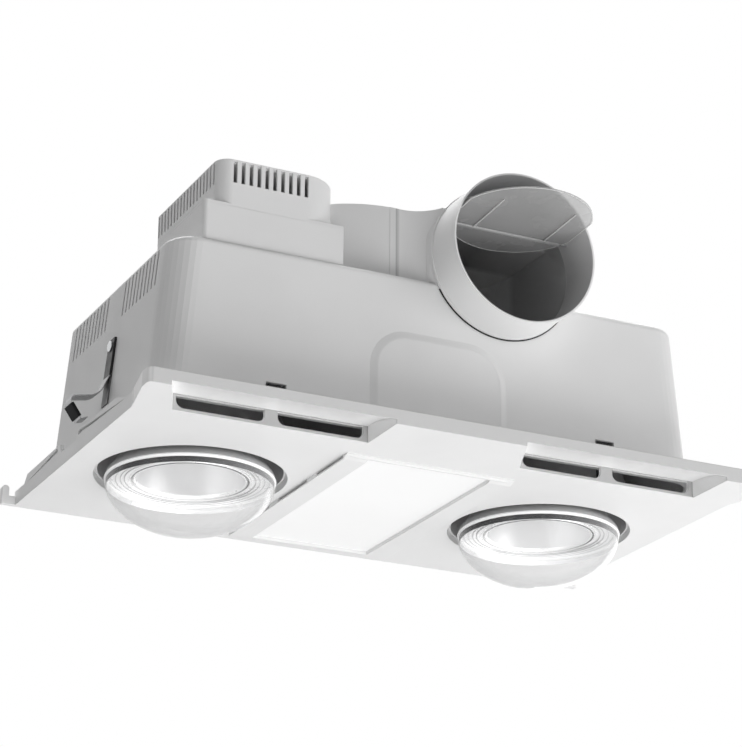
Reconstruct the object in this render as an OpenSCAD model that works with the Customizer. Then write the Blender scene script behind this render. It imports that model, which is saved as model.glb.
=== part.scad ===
// Ceiling heater with two heat lamps, a light panel and an exhaust fan with a round duct outlet.
// The ceiling plane is z = 0. The fascia hangs below it and the housing stands above it.
// X runs along the length, -Y is the side with the duct outlet and the air scoops.

/* [Fascia] */
// Length of the fascia
fascia_l = 478; // [472:1:520]
// Width of the fascia
fascia_w = 298; // [290:1:330]
// Drop of the fascia's face below the ceiling
fascia_drop = 18; // [17:0.5:22]
// Thickness of the fascia plate
fascia_t = 2.5; // [2:0.1:3]
// Height of the fascia's rim
rim_h = 11; // [10.5:0.5:13]
// Thickness of the fascia's rim
rim_t = 2.5; // [2:0.1:3]
// Radius of the near corners
ear_r = 4; // [3:0.5:8]
// How far the near corners stand out beyond the ends
ear_out = 8; // [5:0.5:9]
// Length of a near corner's slant
ear_l = 52; // [40:1:60]
// Radius of each lamp opening
lamp_hole_r = 71; // [70:0.5:72]
// Distance between the two lamp centres
lamp_pitch = 292; // [290:1:294]
// Distance of the lamps behind the middle of the fascia
lamp_y = 23.5; // [15:0.5:30]

/* [Air scoops] */
// Run of a scoop from the near edge to its riser
scoop_run = 46; // [40:1:50]
// Height of a scoop at its riser
scoop_h = 12.6; // [9:0.1:12.7]
// Height of the ramp at the near edge
scoop_lip = 3; // [2:0.5:4]
// Width of a scoop along its riser
scoop_w = 148; // [140:1:156]
// Flare of a scoop's left end at the near edge
scoop_flare = 19; // [8:1:20]
// Middle of the left scoop
scoop_x = -137.5; // [-140:0.5:-134]
// Distance between the two scoops
scoop_pitch = 270; // [262:1:274]
// Width of one inlet slot
slot_w = 66; // [55:1:67]
// Height of one inlet slot
slot_h = 9.2; // [5:0.1:9.4]
// Radius of a slot's lower corners
slot_r = 5.5; // [3:0.5:7]
// Web between the two slots of a scoop
slot_web = 10; // [6:1:12]

/* [Centre light] */
// Length of the centre module along Y
module_l = 213; // [200:1:216]
// Width of the centre module
module_w = 136; // [132:1:138]
// Middle of the centre module along Y
module_y = 27.5; // [25:0.5:29]
// How far the centre module stands below the fascia
module_drop = 3; // [2.6:0.1:4]
// Height of the air slits in the module's sides
slit_h = 2; // [1.2:0.1:2]
// Border between the light window and the module's sides
window_border = 18.5; // [16:0.5:28]
// Border between the light window and the module's ends
window_end = 4; // [3.5:0.5:16]
// Recess of the diffuser in its window
window_recess = 2.6; // [2:0.1:3]
// Thickness of the diffuser
diffuser_t = 2; // [1.5:0.1:3]
// Length of the light driver
driver_l = 110; // [80:1:140]

/* [Heat lamps] */
// Largest radius of a lamp's glass
lamp_r = 62.5; // [60:0.5:63.5]
// Depth of the bowl below the lamp's widest ring
bowl_depth = 34; // [28:1:40]
// Drop of the lamp's widest ring below the ceiling
lamp_ring_drop = 26.5; // [24:0.5:30]
// Wall of the lamp's glass
glass_t = 0.9; // [0.7:0.1:1.2]
// Radius of the lamp's neck
neck_r = 19; // [17:0.5:20]
// Radius of the screw cap
cap_r = 13.2; // [12:0.1:13.2]
// Height of the screw cap
cap_h = 22; // [20:0.5:24]
// Inner radius of the lamp shroud
shroud_r = 68.2; // [66:0.1:68.5]
// Height of the shroud above the fascia plate
shroud_h = 70; // [50:1:80]

/* [Housing] */
// Length of the housing at the ceiling
body_l = 440; // [436:1:444]
// Width of the housing
body_w = 213; // [206:1:216]
// Middle of the housing along Y
body_y = 16.5; // [14:0.5:19]
// Height of the housing above the ceiling
body_h = 122; // [119:1:132]
// Draft of the end walls, as a share of the height
draft_share = 0.09; // [0.05:0.01:0.1]
// Wall of the housing
wall = 2.2; // [1.8:0.1:2.6]
// Radius of the housing's upright corners
body_r = 22; // [16:1:26]
// Radius of the housing's two back corners
body_back_r = 6; // [6:0.5:12]
// Radius of the housing's top edge
body_top_r = 4.5; // [4:0.5:5.5]
// Width of the flange on the ceiling
flange_w = 12; // [11:0.5:14]
// Thickness of the flange
flange_t = 2.5; // [2:0.1:3]
// Radius of the ceiling fixing holes
fixing_r = 2.25; // [2:0.05:2.5]
// Distance between the fixing holes along X
fixing_x = 452; // [450:1:454]
// Distance between the fixing holes along Y
fixing_y = 120; // [90:1:150]

/* [Fan scroll] */
// Outer radius of the duct spigot
duct_r = 59; // [56:0.5:62]
// Wall of the duct spigot
duct_t = 1.5; // [1.2:0.1:2]
// Length of the spigot beyond the housing
duct_l = 37; // [34:1:50]
// Middle of the spigot along X
duct_x = 53; // [48:1:60]
// Height of the spigot's middle above the housing
duct_rise = 24; // [21:1:28]
// Smallest outer radius of the scroll
scroll_r = 80; // [78:0.5:81]
// Growth of the scroll's radius in each quarter turn
scroll_step = 20; // [19:0.5:21]
// Gap between the scroll's front and the housing's front
scroll_set = 15; // [13:0.5:16]
// Height of the scroll
scroll_h = 94; // [90:1:100]
// How far the scroll stands above the housing
scroll_rise = 60; // [54:1:64]
// Wall of the scroll
scroll_t = 2; // [1.6:0.1:2.4]
// Radius of the fillet between the scroll and the spigot
blend_r = 29; // [24:1:32]
// Radius of the air inlet
inlet_r = 40; // [34:1:44]

/* [Flap] */
// Radius of the backdraft flap
flap_r = 53.5; // [50:0.5:54.5]
// Thickness of the flap
flap_t = 1.2; // [1:0.1:1.6]
// Height of the flap's axle above the spigot's middle
flap_up = 23.5; // [22:0.5:26]
// Distance of the flap's axle behind the mouth
flap_back = 30; // [26:1:31]
// Radius of the flap's axle
axle_r = 1; // [0.8:0.1:1.2]

/* [Fan wheel and motor] */
// Radius of the fan wheel
wheel_r = 50; // [46:0.5:50.5]
// Height of the fan wheel
wheel_h = 60; // [52:1:64]
// Depth of a blade
blade_d = 9; // [7:0.5:10]
// Number of blades
blade_count = 30; // [20:1:36]
// Thickness of a blade
blade_t = 1; // [0.8:0.1:1.2]
// Radius of the motor can
motor_r = 29; // [26:0.5:30]
// Height of the motor can
motor_h = 38; // [34:1:40]
// Radius of the motor shaft
shaft_r = 4; // [3:0.5:5]

/* [Terminal box] */
// Length of the box's base
base_l = 110; // [104:1:112]
// Height of the box's base
base_h = 29; // [24:1:34]
// Height of the slotted cover above the base
cover_h = 37; // [30:1:40]
// Step of the cover behind the base's left end
cover_step = 11; // [6:1:14]
// Wall of the box
box_t = 2; // [1.6:0.1:2.4]
// Radius of the cable entry
entry_r = 4.5; // [3:0.5:5]
// Width of one vent slot of the cover
vent_w = 3; // [2:0.1:3.4]
// Pitch of the vent slots of the cover
vent_pitch = 6.26; // [5.5:0.1:6.5]

/* [Spring clips] */
// Width of a clip's strip
clip_w = 12; // [8:0.5:14]
// Thickness of a clip's strip
clip_t = 0.8; // [0.6:0.1:1]
// Height of a clip's screw above the ceiling
clip_z = 68.5; // [66:0.5:76]
// Middle of the clips along Y
clip_y = 13; // [10:1:30]

/* [Hidden] */
$fn = 96;
// Overrun of every cut
cut = 1;
// Gap between pieces that only lie side by side
gap = 0.3;
// Radial clearance of a running fit
running = 0.05;
// Number of sides of the round parts inside a hull
hull_sides = 32;
// Sides of small round features
small_sides = 32;

// Fascia
face_z = -fascia_drop;
plate_z = face_z + fascia_t;
rim_z = face_z + rim_h;
near_y = -fascia_w / 2;
riser_y = near_y + scoop_run;
scoop_rise = scoop_h - scoop_lip;
// The ramp is an arc that runs level into the riser
scoop_arc_r = (scoop_run * scoop_run + scoop_rise * scoop_rise) / (2 * scoop_rise);
scoop_arc_z = face_z + scoop_h - scoop_arc_r;
slot_margin = 2.5;
slot_lift = scoop_h - slot_h - 0.05 * scoop_h;
collar_h = 3;
collar_t = 2;
// Lips that stand on the ceiling, as shares of the fascia's width along Y and of their height
lip_far_shares = [[0.43, 0], [0.4, 0.85], [0.16, 1], [0.14, 0]];
lip_near_shares = [[0.05, 0], [0.035, 1], [-0.23, 0.8], [-0.31, 0]];
lip_groove_shares = [[0.175, 0.4], [0.03, -0.295]];
lip_h = -rim_z;
lip_groove_h = 3.2;
lip_groove_z = 2.4;
lip_groove_end_z = -0.8;
lug_l = 11;
lug_w = 5;
lug_h = 14.5;
lug_base = 6.4;
lug_arm = 5.6;
lamp_x = lamp_pitch / 2;
// Straight part of an ear's end
ear_flat = 12;

// Centre module
module_z = face_z - module_drop;
window_w = module_w - 2 * window_border;
window_l = module_l - 2 * window_end;
aperture_side = 4;
aperture_end = 2;
aperture_w = module_w - 2 * aperture_side;
aperture_l = module_l - 2 * aperture_end;
module_wall = 1.6;
module_slope = 7;
fit = 0.4;
ledge_z = module_z + window_recess;
window_ledge = 2.3;
frame_w = window_w + 2 * window_ledge;
tray_z = -8;
tray_t = 1;
tray_lip = 4;
board_t = 1.6;
chip = 3;
chip_h = 0.8;
chip_rows = 9;
chip_columns = 4;
driver_w = 40;
driver_h = 22;
slit_spans_share = [[-0.467, -0.26], [-0.18, 0.06], [0.14, 0.38]];

// Lamps
ring_z = -lamp_ring_drop;
shoulder_r = 9;
// Room between a lamp's glass and the housing's top, for the cap and the lampholder
lamp_headroom = 39;
lamp_top_z = body_h - lamp_headroom;
neck_l = 23;
neck_z = lamp_top_z - neck_l;
neck_taper = 8;
coil_drop = 71;
reflector_steps = 14;
bowl_steps = 14;
shoulder_steps = 4;
holder_r = 20;
holder_set = 3;
holder_z = lamp_top_z + holder_set;
ceiling_in_z = body_h - wall;
bracket_t = 1.2;
bracket_drop = 3;
holder_top_z = ceiling_in_z - bracket_drop;
shroud_t = 1;
shroud_flange = 5;
shroud_straight_share = 0.34;
shroud_top_share = 0.6;
shroud_steps = 8;
shroud_window_w = 12;
shroud_window_h = 9;
shroud_window_angles = [205, -25];

// Housing
front_y = body_y - body_w / 2;
back_y = body_y + body_w / 2;
function end_x(z) = body_l / 2 - draft_share * z;
vent_slot_w = 2.4;
vent_slot_h = 27.5;
vent_top_gap = 4.7;
vent_groups_share = [[-0.364, -0.063], [0.104, 0.4225]];
vent_count = 10;
latch_w = 16;
latch_h = 14;
latch_z = 6.5;
latch_x = 134;
latch_shift = 5;
latch_t = 2.5;
latch_nose = 2.2;
arch_w = 100;
arch_h = 72;
arch_r = 25;
arch_t = 1.6;

// Fan scroll: three quarter arcs whose centres step round a small square
scroll_right = duct_x + duct_r;
arc_x = scroll_right - scroll_r - 3 * scroll_step;
arc_y = front_y + scroll_set + scroll_r;
fan_x = arc_x + scroll_step / 2;
fan_y = arc_y - scroll_step / 2;
scroll_top_z = body_h + scroll_rise;
scroll_z = scroll_top_z - scroll_h;
duct_left = duct_x - duct_r;
mouth_y = front_y - duct_l;
duct_z = body_h + duct_rise;
neck_set = 32;
neck_y = front_y + neck_set;
spigot_set = 2;
neck_end_y = front_y + spigot_set;
root_rise = 0.8;
root_r = duct_r + root_rise;
root_w = 2;
root_y = front_y - gap - root_w;
// The neck meets the round spigot with a small step
neck_step = 0.2;
neck_skin = 0.1;
spigot_end_y = neck_end_y - neck_skin / 2;
seat_w = 6;
seat_t = 2;
big = 400;
seat_screw_angles = [[0, 205], [1, 150], [1, 105], [2, 60], [2, 15]];
screw_r = 1.5;
screw_head_r = 3;
screw_head_h = 1.8;
screw_clear = 0.1;

// Flap
axle_y = mouth_y + flap_back;
axle_z = duct_z + flap_up;
flap_side = 50.8;
barrel_r = 2.2;
rib_h = 0.8;
rib_x = [-29, 31];
flap_tilt = 2.75;
// Half length of the axle, whose ends stop inside the spigot's wall
axle_reach = sqrt(duct_r * duct_r - (flap_up + axle_r) * (flap_up + axle_r)) - gap - 2 * running;

// Fan wheel and motor
wheel_set = 9;
wheel_z = scroll_z + wheel_set;
// The blades end just inside the wheel's rings
blade_set = 0.4;
cup_room = 4;
cup_r = motor_r + cup_room;
cup_t = 1.5;
ring_h = 2;
motor_rise = 14;
motor_z = wheel_z + wheel_h - motor_h + motor_rise;
cup_z = motor_z - cup_room;
hub_r = 9;
nut_r = 6.5;
nut_h = 5;
rotor_r = 14;
stator_t = 9;
bearing_r = 8;
bearing_h = 5;
shell_t = 1.4;
bracket_post_r = 4;
bracket_reach = 8;

// Terminal box
base_right = -76;
base_left = base_right - base_l;
base_set = 4;
base_front = front_y + base_set;
base_back = 36;
base_step_y = 0;
base_z = body_h + gap;
cover_z = base_z + base_h;
cover_top = cover_z + cover_h;
cover_left = base_left + cover_step;
cover_corner_left = 11;
cover_corner_right = 30;
cover_corner_back = 4;
side_slots = 18;
front_slots = 10;
vent_h = 17;
vent_drop = 1;
gland_r = 8;
gland_flange_r = 11;
gland_out = 14;
gland_step = 1;
gland_set = 40;
gland_rise = 15;
gland_x = base_left + gland_set;
gland_z = base_z + gland_rise;
block_l = 48;
block_w = 16;
block_h = 14;
pole_count = 4;
pole_pitch = 11;
cap_can_r = 12;
cap_can_l = 48;

// Spring clips: the strip's route outward and down, in the plane across the clip's width
clip_head_room = 6;
clip_top_z = clip_z + clip_head_room;
clip_strap_l = 24.5;
clip_root_z = clip_z - clip_strap_l;
clip_tail_z = 22;
clip_bend_r = 14;
clip_lead = 3;
clip_straight = 4;
clip_bend_z = clip_root_z - clip_straight;
clip_reach = 7.5;
clip_fall = 1.5;
foot_r = 4;
foot_l = 13;
foot_angle = 35;
lip_l = 5;
sleeve_t = 0.8;
clip_screw_head_r = 4;
clip_head_lift = draft_share * clip_screw_head_r;
clip_x = end_x(clip_z) + gap + clip_t / 2;
// The strip's middle line is two layers out from the wall where the leaf begins
leaf_x = end_x(clip_root_z) + 2 * gap + 1.5 * clip_t;

// Plan of a box with its own radius at every corner: near left, near right, far right, far left
module corner_cut(x, y, r, sx, sy) {
    if (r > 0)
        translate([x, y])
            scale([sx, sy])
                difference() {
                    translate([-cut, -cut])
                        square(r + cut);
                    translate([r, r])
                        circle(r, $fn = small_sides * 2);
                }
}

module plan(x0, x1, y0, y1, r = [0, 0, 0, 0]) {
    difference() {
        translate([x0, y0])
            square([x1 - x0, y1 - y0]);
        corner_cut(x0, y0, r[0], 1, 1);
        corner_cut(x1, y0, r[1], -1, 1);
        corner_cut(x1, y1, r[2], -1, -1);
        corner_cut(x0, y1, r[3], 1, -1);
    }
}

// The same plan raised between two heights
module slab(x0, x1, y0, y1, z0, z1, r = [0, 0, 0, 0]) {
    translate([0, 0, z0])
        linear_extrude(z1 - z0)
            plan(x0, x1, y0, y1, r);
}

// A profile in Y and Z drawn out along X, and one in X and Z drawn out along Y
module along_x(x0, x1) {
    translate([x0, 0, 0])
        rotate([90, 0, 90])
            linear_extrude(x1 - x0)
                children();
}

module along_y(y0, y1) {
    translate([0, y1, 0])
        rotate([90, 0, 0])
            linear_extrude(y1 - y0)
                children();
}

module rod_y(x, z, r, y0, y1, sides = 96) {
    translate([x, y1, z])
        rotate([90, 0, 0])
            cylinder(r = r, h = y1 - y0, $fn = sides);
}

module rod_x(y, z, r, x0, x1, sides = 32) {
    translate([x0, y, z])
        rotate([0, 90, 0])
            cylinder(r = r, h = x1 - x0, $fn = sides);
}

module both_sides() {
    children();
    mirror([1, 0, 0])
        children();
}

// Fascia
module scoop_arc(extra) {
    intersection() {
        translate([riser_y, scoop_arc_z])
            circle(scoop_arc_r + extra, $fn = 360);
        translate([near_y - cut, face_z - cut])
            square([scoop_run + cut + extra, scoop_h + extra + 2 * cut]);
    }
}

module scoop_hood() {
    along_x(scoop_x - scoop_w / 2 - scoop_flare - fascia_t, scoop_x + scoop_w / 2 + fascia_t)
        intersection() {
            scoop_arc(fascia_t);
            translate([near_y, face_z])
                square([scoop_run + fascia_t, scoop_h + fascia_t]);
        }
}

module scoop_cut() {
    intersection() {
        along_x(scoop_x - scoop_w, scoop_x + scoop_w)
            scoop_arc(0);
        translate([scoop_x, 0, face_z - 2 * cut])
            linear_extrude(scoop_h + 3 * cut)
                polygon([[-scoop_w / 2, riser_y], [-scoop_w / 2 - scoop_flare, near_y],
                    [-scoop_w / 2 - scoop_flare, near_y - cut], [scoop_w / 2, near_y - cut],
                    [scoop_w / 2, riser_y]]);
    }
}

module slot_shape() {
    translate([0, slot_r])
        square([slot_w, slot_h - slot_r]);
    translate([slot_r, 0])
        square([slot_w - 2 * slot_r, slot_h]);
    for (x = [slot_r, slot_w - slot_r])
        intersection() {
            translate([x, slot_r])
                circle(slot_r, $fn = small_sides);
            translate([x - slot_r, 0])
                square([2 * slot_r, slot_h]);
        }
}

module scoop_slots() {
    for (k = [0, 1])
        translate([scoop_x - scoop_w / 2 + slot_margin + k * (slot_w + slot_web), 0, 0])
            along_y(riser_y - cut, riser_y + fascia_t + cut)
                translate([0, face_z + slot_lift])
                    slot_shape();
}

module ceiling_lips() {
    along_x(fascia_l / 2 - rim_t, fascia_l / 2)
        for (lip = [lip_far_shares, lip_near_shares])
            polygon([for (p = lip) [p[0] * fascia_w, rim_z - (p[1] == 0 ? fascia_t : 0) + p[1] * lip_h]]);
}

// Tapering slots under the lips, through the rim
module lip_grooves() {
    along_x(fascia_l / 2 - rim_t - cut, fascia_l / 2 + cut)
        for (g = lip_groove_shares)
            polygon([[g[0] * fascia_w, rim_z + lip_groove_z], [g[0] * fascia_w, rim_z + lip_groove_z + lip_groove_h],
                [g[1] * fascia_w, rim_z + lip_groove_end_z]]);
}

module corner_lug() {
    arm_r = lug_arm / 2;
    lug_end_x = fascia_l / 2 + lug_l;
    translate([0, fascia_w / 2, 0])
        rotate([90, 0, 0])
            linear_extrude(lug_w)
                union() {
                    translate([fascia_l / 2 - rim_t / 2, face_z])
                        square([lug_l + rim_t / 2, lug_base]);
                    translate([lug_end_x - lug_arm, face_z])
                        square([lug_arm, lug_h - arm_r]);
                    translate([lug_end_x - arm_r, face_z + lug_h - arm_r])
                        circle(arm_r, $fn = small_sides);
                }
}

// Plan of the ear at a near corner, where the panel widens
module ear_plan(inset) {
    x = fascia_l / 2 + ear_out - inset;
    y = near_y + inset;
    r = ear_r - inset;
    translate([x - r, y + r])
        circle(r, $fn = small_sides);
    polygon([[fascia_l / 2 - ear_l, y], [x - r, y], [x - r, y + r], [x, y + r], [x, near_y + ear_flat],
        [fascia_l / 2 - inset, near_y + ear_l], [fascia_l / 2 - ear_l, near_y + ear_l]]);
}

module fascia_panel() {
    color("white")
        difference() {
            union() {
                difference() {
                    union() {
                        slab(-fascia_l / 2, fascia_l / 2, near_y, -near_y, face_z, rim_z, [0, 0, rim_t, rim_t]);
                        both_sides()
                            translate([0, 0, face_z])
                                linear_extrude(rim_h)
                                    ear_plan(0);
                    }
                    union() {
                        slab(rim_t - fascia_l / 2, fascia_l / 2 - rim_t, near_y + rim_t, -near_y - rim_t,
                            plate_z, rim_z + cut);
                        both_sides()
                            translate([0, 0, plate_z])
                                linear_extrude(rim_h)
                                    ear_plan(rim_t);
                    }
                }
                for (side = [0, 1])
                    translate([side * scoop_pitch, 0, 0])
                        scoop_hood();
                for (side = [-1, 1])
                    translate([side * lamp_x, lamp_y, face_z])
                        cylinder(r = lamp_hole_r + collar_t, h = fascia_t + collar_h);
                both_sides()
                    ceiling_lips();
                both_sides()
                    corner_lug();
            }
            for (side = [0, 1])
                translate([side * scoop_pitch, 0, 0]) {
                    scoop_cut();
                    scoop_slots();
                }
            for (side = [-1, 1])
                translate([side * lamp_x, lamp_y, face_z - cut])
                    cylinder(r = lamp_hole_r, h = fascia_t + collar_h + 2 * cut);
            slab(-aperture_w / 2, aperture_w / 2, module_y - aperture_l / 2, module_y + aperture_l / 2,
                face_z - cut, rim_z + cut);
            both_sides()
                lip_grooves();
        }
}

// Centre module with the light
module centre_block(inset, z0, z1) {
    slab(inset - module_w / 2, module_w / 2 - inset, module_y - module_l / 2 + inset / 2,
        module_y + module_l / 2 - inset / 2, z0, z1);
}

module centre_module() {
    color("white")
        difference() {
            union() {
                difference() {
                    centre_block(0, module_z, face_z);
                    // Slope of the near end, which starts almost flush with the fascia
                    along_x(-module_w, module_w)
                        polygon([[module_y - module_l / 2 - cut, face_z - gap],
                            [module_y - module_l / 2 + module_slope, module_z],
                            [module_y - module_l / 2 + module_slope, module_z - cut],
                            [module_y - module_l / 2 - cut, module_z - cut]]);
                }
                slab(fit - aperture_w / 2, aperture_w / 2 - fit, module_y - aperture_l / 2 + fit,
                    module_y + aperture_l / 2 - fit, module_z + cut, tray_z);
            }
            slab(-window_w / 2, window_w / 2, module_y - window_l / 2, module_y + window_l / 2, module_z - cut,
                tray_z + cut);
            slab(-frame_w / 2, frame_w / 2, module_y - window_l / 2, module_y + window_l / 2, ledge_z,
                tray_z + cut);
            // Channels beside the window, with slits through the module's sides
            both_sides() {
                slab(frame_w / 2 + module_wall, aperture_w / 2 - fit - module_wall,
                    module_y - module_l / 2 + module_slope, module_y + window_l / 2, face_z - slit_h,
                    tray_z + cut);
                for (s = slit_spans_share)
                    slab(frame_w / 2 + module_wall, module_w / 2 + cut, module_y + s[0] * module_l,
                        module_y + s[1] * module_l, face_z - slit_h, face_z);
            }
        }
}

module led_diffuser() {
    color("snow")
        slab(fit - frame_w / 2, frame_w / 2 - fit, module_y - window_l / 2 + fit, module_y + window_l / 2 - fit,
            ledge_z, ledge_z + diffuser_t);
}

module led_tray() {
    half_l = window_l / 2 - fit;
    color("gainsboro")
        difference() {
            union() {
                slab(-frame_w / 2 - module_wall, frame_w / 2 + module_wall, module_y - half_l, module_y + half_l,
                    tray_z, tray_z + tray_t);
                slab(fit - frame_w / 2, frame_w / 2 - fit, module_y - half_l, module_y + half_l,
                    ledge_z + diffuser_t, tray_z + tray_t);
            }
            slab(fit + tray_t - frame_w / 2, frame_w / 2 - fit - tray_t, module_y - half_l + tray_t,
                module_y + half_l - tray_t, ledge_z + diffuser_t - cut, tray_z);
            module_screw_places()
                cylinder(r = screw_r + screw_clear, h = 2 * cut + tray_t, center = true, $fn = small_sides);
        }
}

module led_board() {
    half_w = frame_w / 2 - fit - tray_t - fit;
    half_l = window_l / 2 - 2 * fit - tray_t;
    color("whitesmoke")
        union() {
            slab(-half_w, half_w, module_y - half_l, module_y + half_l, tray_z - board_t, tray_z);
            for (i = [0:chip_columns - 1])
                for (j = [0:chip_rows - 1])
                    translate([(i - (chip_columns - 1) / 2) * window_w / chip_columns - chip / 2,
                        module_y + (j - (chip_rows - 1) / 2) * window_l / chip_rows - chip / 2,
                        tray_z - board_t - chip_h])
                        cube([chip, chip, 2 * chip_h]);
        }
}

module led_driver() {
    color("whitesmoke")
        difference() {
            slab(-driver_w / 2, driver_w / 2, module_y - driver_l / 2, module_y + driver_l / 2, tray_z + tray_t,
                tray_z + tray_t + driver_h, [2, 2, 2, 2]);
            for (s = [-1, 1])
                rod_y(s * driver_w / 4, tray_z + tray_t + driver_h / 2, 2.5 * screw_r, module_y - driver_l / 2 - cut,
                    module_y - driver_l / 2 + 3 * cut, small_sides);
        }
}

module module_screw_places() {
    for (sx = [-1, 1])
        for (sy = [-1, 1])
            translate([sx * (frame_w / 2 - 4 * screw_r), module_y + sy * (window_l / 2 - 5 * screw_r),
                tray_z + tray_t / 2])
                children();
}

module round_screw(length) {
    cylinder(r = screw_r, h = length, $fn = small_sides);
    translate([0, 0, length])
        difference() {
            cylinder(r = screw_head_r, h = screw_head_h, $fn = small_sides);
            translate([-screw_head_r, -screw_head_h / 6, screw_head_h / 2])
                cube([2 * screw_head_r, screw_head_h / 3, screw_head_h]);
            translate([-screw_head_h / 6, -screw_head_r, screw_head_h / 2])
                cube([screw_head_h / 3, 2 * screw_head_r, screw_head_h]);
        }
}

module module_screws() {
    color("silver")
        module_screw_places()
            translate([0, 0, -tray_t / 2])
                round_screw(tray_t);
}

// Heat lamps
function bowl_points(inset) = [for (i = [0:bowl_steps])
    let (a = 90 * i / bowl_steps)
    [(lamp_r - inset) * sin(a), ring_z - (bowl_depth - inset) * cos(a)]];
function shoulder_points(inset) = [for (i = [1:shoulder_steps])
    let (a = 52 * i / shoulder_steps)
    [lamp_r - shoulder_r + (shoulder_r - inset) * cos(a), ring_z + (shoulder_r - inset) * sin(a)]];
function reflector_r(s, r0) = neck_r + (r0 - neck_r) * pow(1 - s, 1.35);
function reflector_points(inset) =
    let (start = shoulder_points(inset)[shoulder_steps - 1])
    [for (i = [1:reflector_steps])
        let (s = i / reflector_steps)
        [reflector_r(s, start[0] + inset) - inset, start[1] + s * (neck_z - start[1])]];
function lamp_outline(inset) = concat(bowl_points(inset), shoulder_points(inset), reflector_points(inset));

module lamp_glass() {
    color("lightcyan", 0.5)
        rotate_extrude()
            difference() {
                polygon(concat(lamp_outline(0), [[neck_r, lamp_top_z - neck_taper], [cap_r, lamp_top_z],
                    [0, lamp_top_z]]));
                polygon(concat(lamp_outline(glass_t), [[neck_r - glass_t, lamp_top_z - neck_taper],
                    [cap_r - glass_t, lamp_top_z], [cap_r - glass_t, lamp_top_z + cut], [0, lamp_top_z + cut]]));
            }
}

module lamp_cap() {
    thread = cap_r / 14;
    turns = 5;
    color("goldenrod")
        translate([0, 0, lamp_top_z])
            rotate_extrude()
                polygon(concat([[0, 0], [cap_r, 0]],
                    [for (i = [1:turns * 2])
                        [cap_r - (i % 2) * thread, i * 0.7 * cap_h / (2 * turns)]],
                    [[cap_r - thread, 0.8 * cap_h], [cap_r / 2.6, 0.92 * cap_h], [cap_r / 2.6, cap_h],
                        [0, cap_h]]));
}

module lamp_filament() {
    stem_r = 5;
    wire_r = 0.8;
    coil_r = 16;
    coil_z = lamp_top_z - coil_drop;
    color("lightgray")
        union() {
            translate([0, 0, coil_z + coil_r])
                cylinder(r = stem_r, h = lamp_top_z - coil_z - coil_r, $fn = small_sides);
            for (a = [0:60:300])
                rotate([0, 0, a])
                    translate([0, 0, coil_z + coil_r + stem_r])
                        rotate([0, 135, 0])
                            cylinder(r = wire_r, h = coil_r * 1.4142 - stem_r / 4, $fn = 16);
            translate([0, 0, coil_z + stem_r])
                rotate_extrude()
                    translate([coil_r, 0])
                        circle(1.6 * wire_r, $fn = 16);
        }
}

module lamp_shroud() {
    straight = shroud_h * shroud_straight_share;
    function wall_r(s) = shroud_r * (1 - (1 - shroud_top_share) * s * s);
    curve = [for (i = [0:shroud_steps])
        let (s = i / shroud_steps)
        [wall_r(s), plate_z + collar_h + straight + s * (shroud_h - straight)]];
    color("darkgray")
        difference() {
            rotate_extrude()
                polygon(concat([[shroud_r, face_z + 1.6 * fascia_t]], curve,
                    [for (i = [shroud_steps:-1:0]) [curve[i][0] + shroud_t, curve[i][1]]],
                    [[shroud_r + shroud_t, plate_z + collar_h + shroud_t],
                        [shroud_r + shroud_flange, plate_z + collar_h + shroud_t],
                        [shroud_r + shroud_flange, plate_z + collar_h],
                        [shroud_r + shroud_t, plate_z + collar_h], [shroud_r + shroud_t, face_z + 1.6 * fascia_t]]));
            for (a = shroud_window_angles)
                rotate([0, 0, a])
                    translate([shroud_r - 3 * shroud_t, -shroud_window_w / 2, plate_z + collar_h + 2 * shroud_t])
                        cube([6 * shroud_t, shroud_window_w, shroud_window_h]);
        }
}

module lampholder() {
    color("ivory")
        rotate_extrude()
            difference() {
                polygon([[0, holder_z], [holder_r, holder_z], [holder_r, holder_z + 0.7 * (holder_top_z - holder_z)],
                    [0.7 * holder_r, holder_top_z], [0, holder_top_z]]);
                polygon([[0, holder_z - cut], [cap_r + gap, holder_z - cut], [cap_r + gap, lamp_top_z + 0.85 * cap_h],
                    [cap_r / 2, lamp_top_z + cap_h + gap], [0, lamp_top_z + cap_h + gap]]);
            }
}

module lamp_bracket() {
    foot = 12;
    color("silver")
        difference() {
            union() {
                slab(-holder_r, holder_r, -holder_r / 2, holder_r / 2, holder_top_z, holder_top_z + bracket_t);
                both_sides() {
                    slab(holder_r - bracket_t, holder_r, -holder_r / 2, holder_r / 2, holder_top_z, ceiling_in_z);
                    slab(holder_r - bracket_t, holder_r + foot, -holder_r / 2, holder_r / 2,
                        ceiling_in_z - bracket_t, ceiling_in_z);
                }
            }
            both_sides()
                translate([holder_r + foot / 2, 0, ceiling_in_z - 2 * bracket_t])
                    cylinder(r = screw_r + screw_clear, h = 3 * bracket_t, $fn = small_sides);
        }
}

// Housing
module body_form(inset, z0) {
    h = body_h - inset;
    top_r = body_top_r - inset;
    corner_r = [body_r - inset, body_back_r - inset];
    skin = cut / 50;
    slices = concat([[z0, 0]], [for (a = [0:22.5:90]) [h - top_r + top_r * sin(a), top_r * (1 - cos(a))]]);
    hull()
        for (s = slices)
            for (sx = [-1, 1])
                for (back = [0, 1]) {
                    r = corner_r[back];
                    translate([sx * (end_x(s[0]) - inset - r),
                        body_y + (2 * back - 1) * (body_w / 2 - inset - r), s[0] - skin])
                        cylinder(r = r - s[1], h = skin, $fn = hull_sides);
                }
}

module end_vents() {
    for (g = vent_groups_share)
        for (i = [0:vent_count - 1])
            translate([end_x(body_h) - 3 * wall, body_y + body_w * (g[0] + (g[1] - g[0]) * i / (vent_count - 1))
                - vent_slot_w / 2, body_h - vent_top_gap - vent_slot_h])
                cube([6 * wall + draft_share * body_h, vent_slot_w, vent_slot_h]);
}

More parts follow.
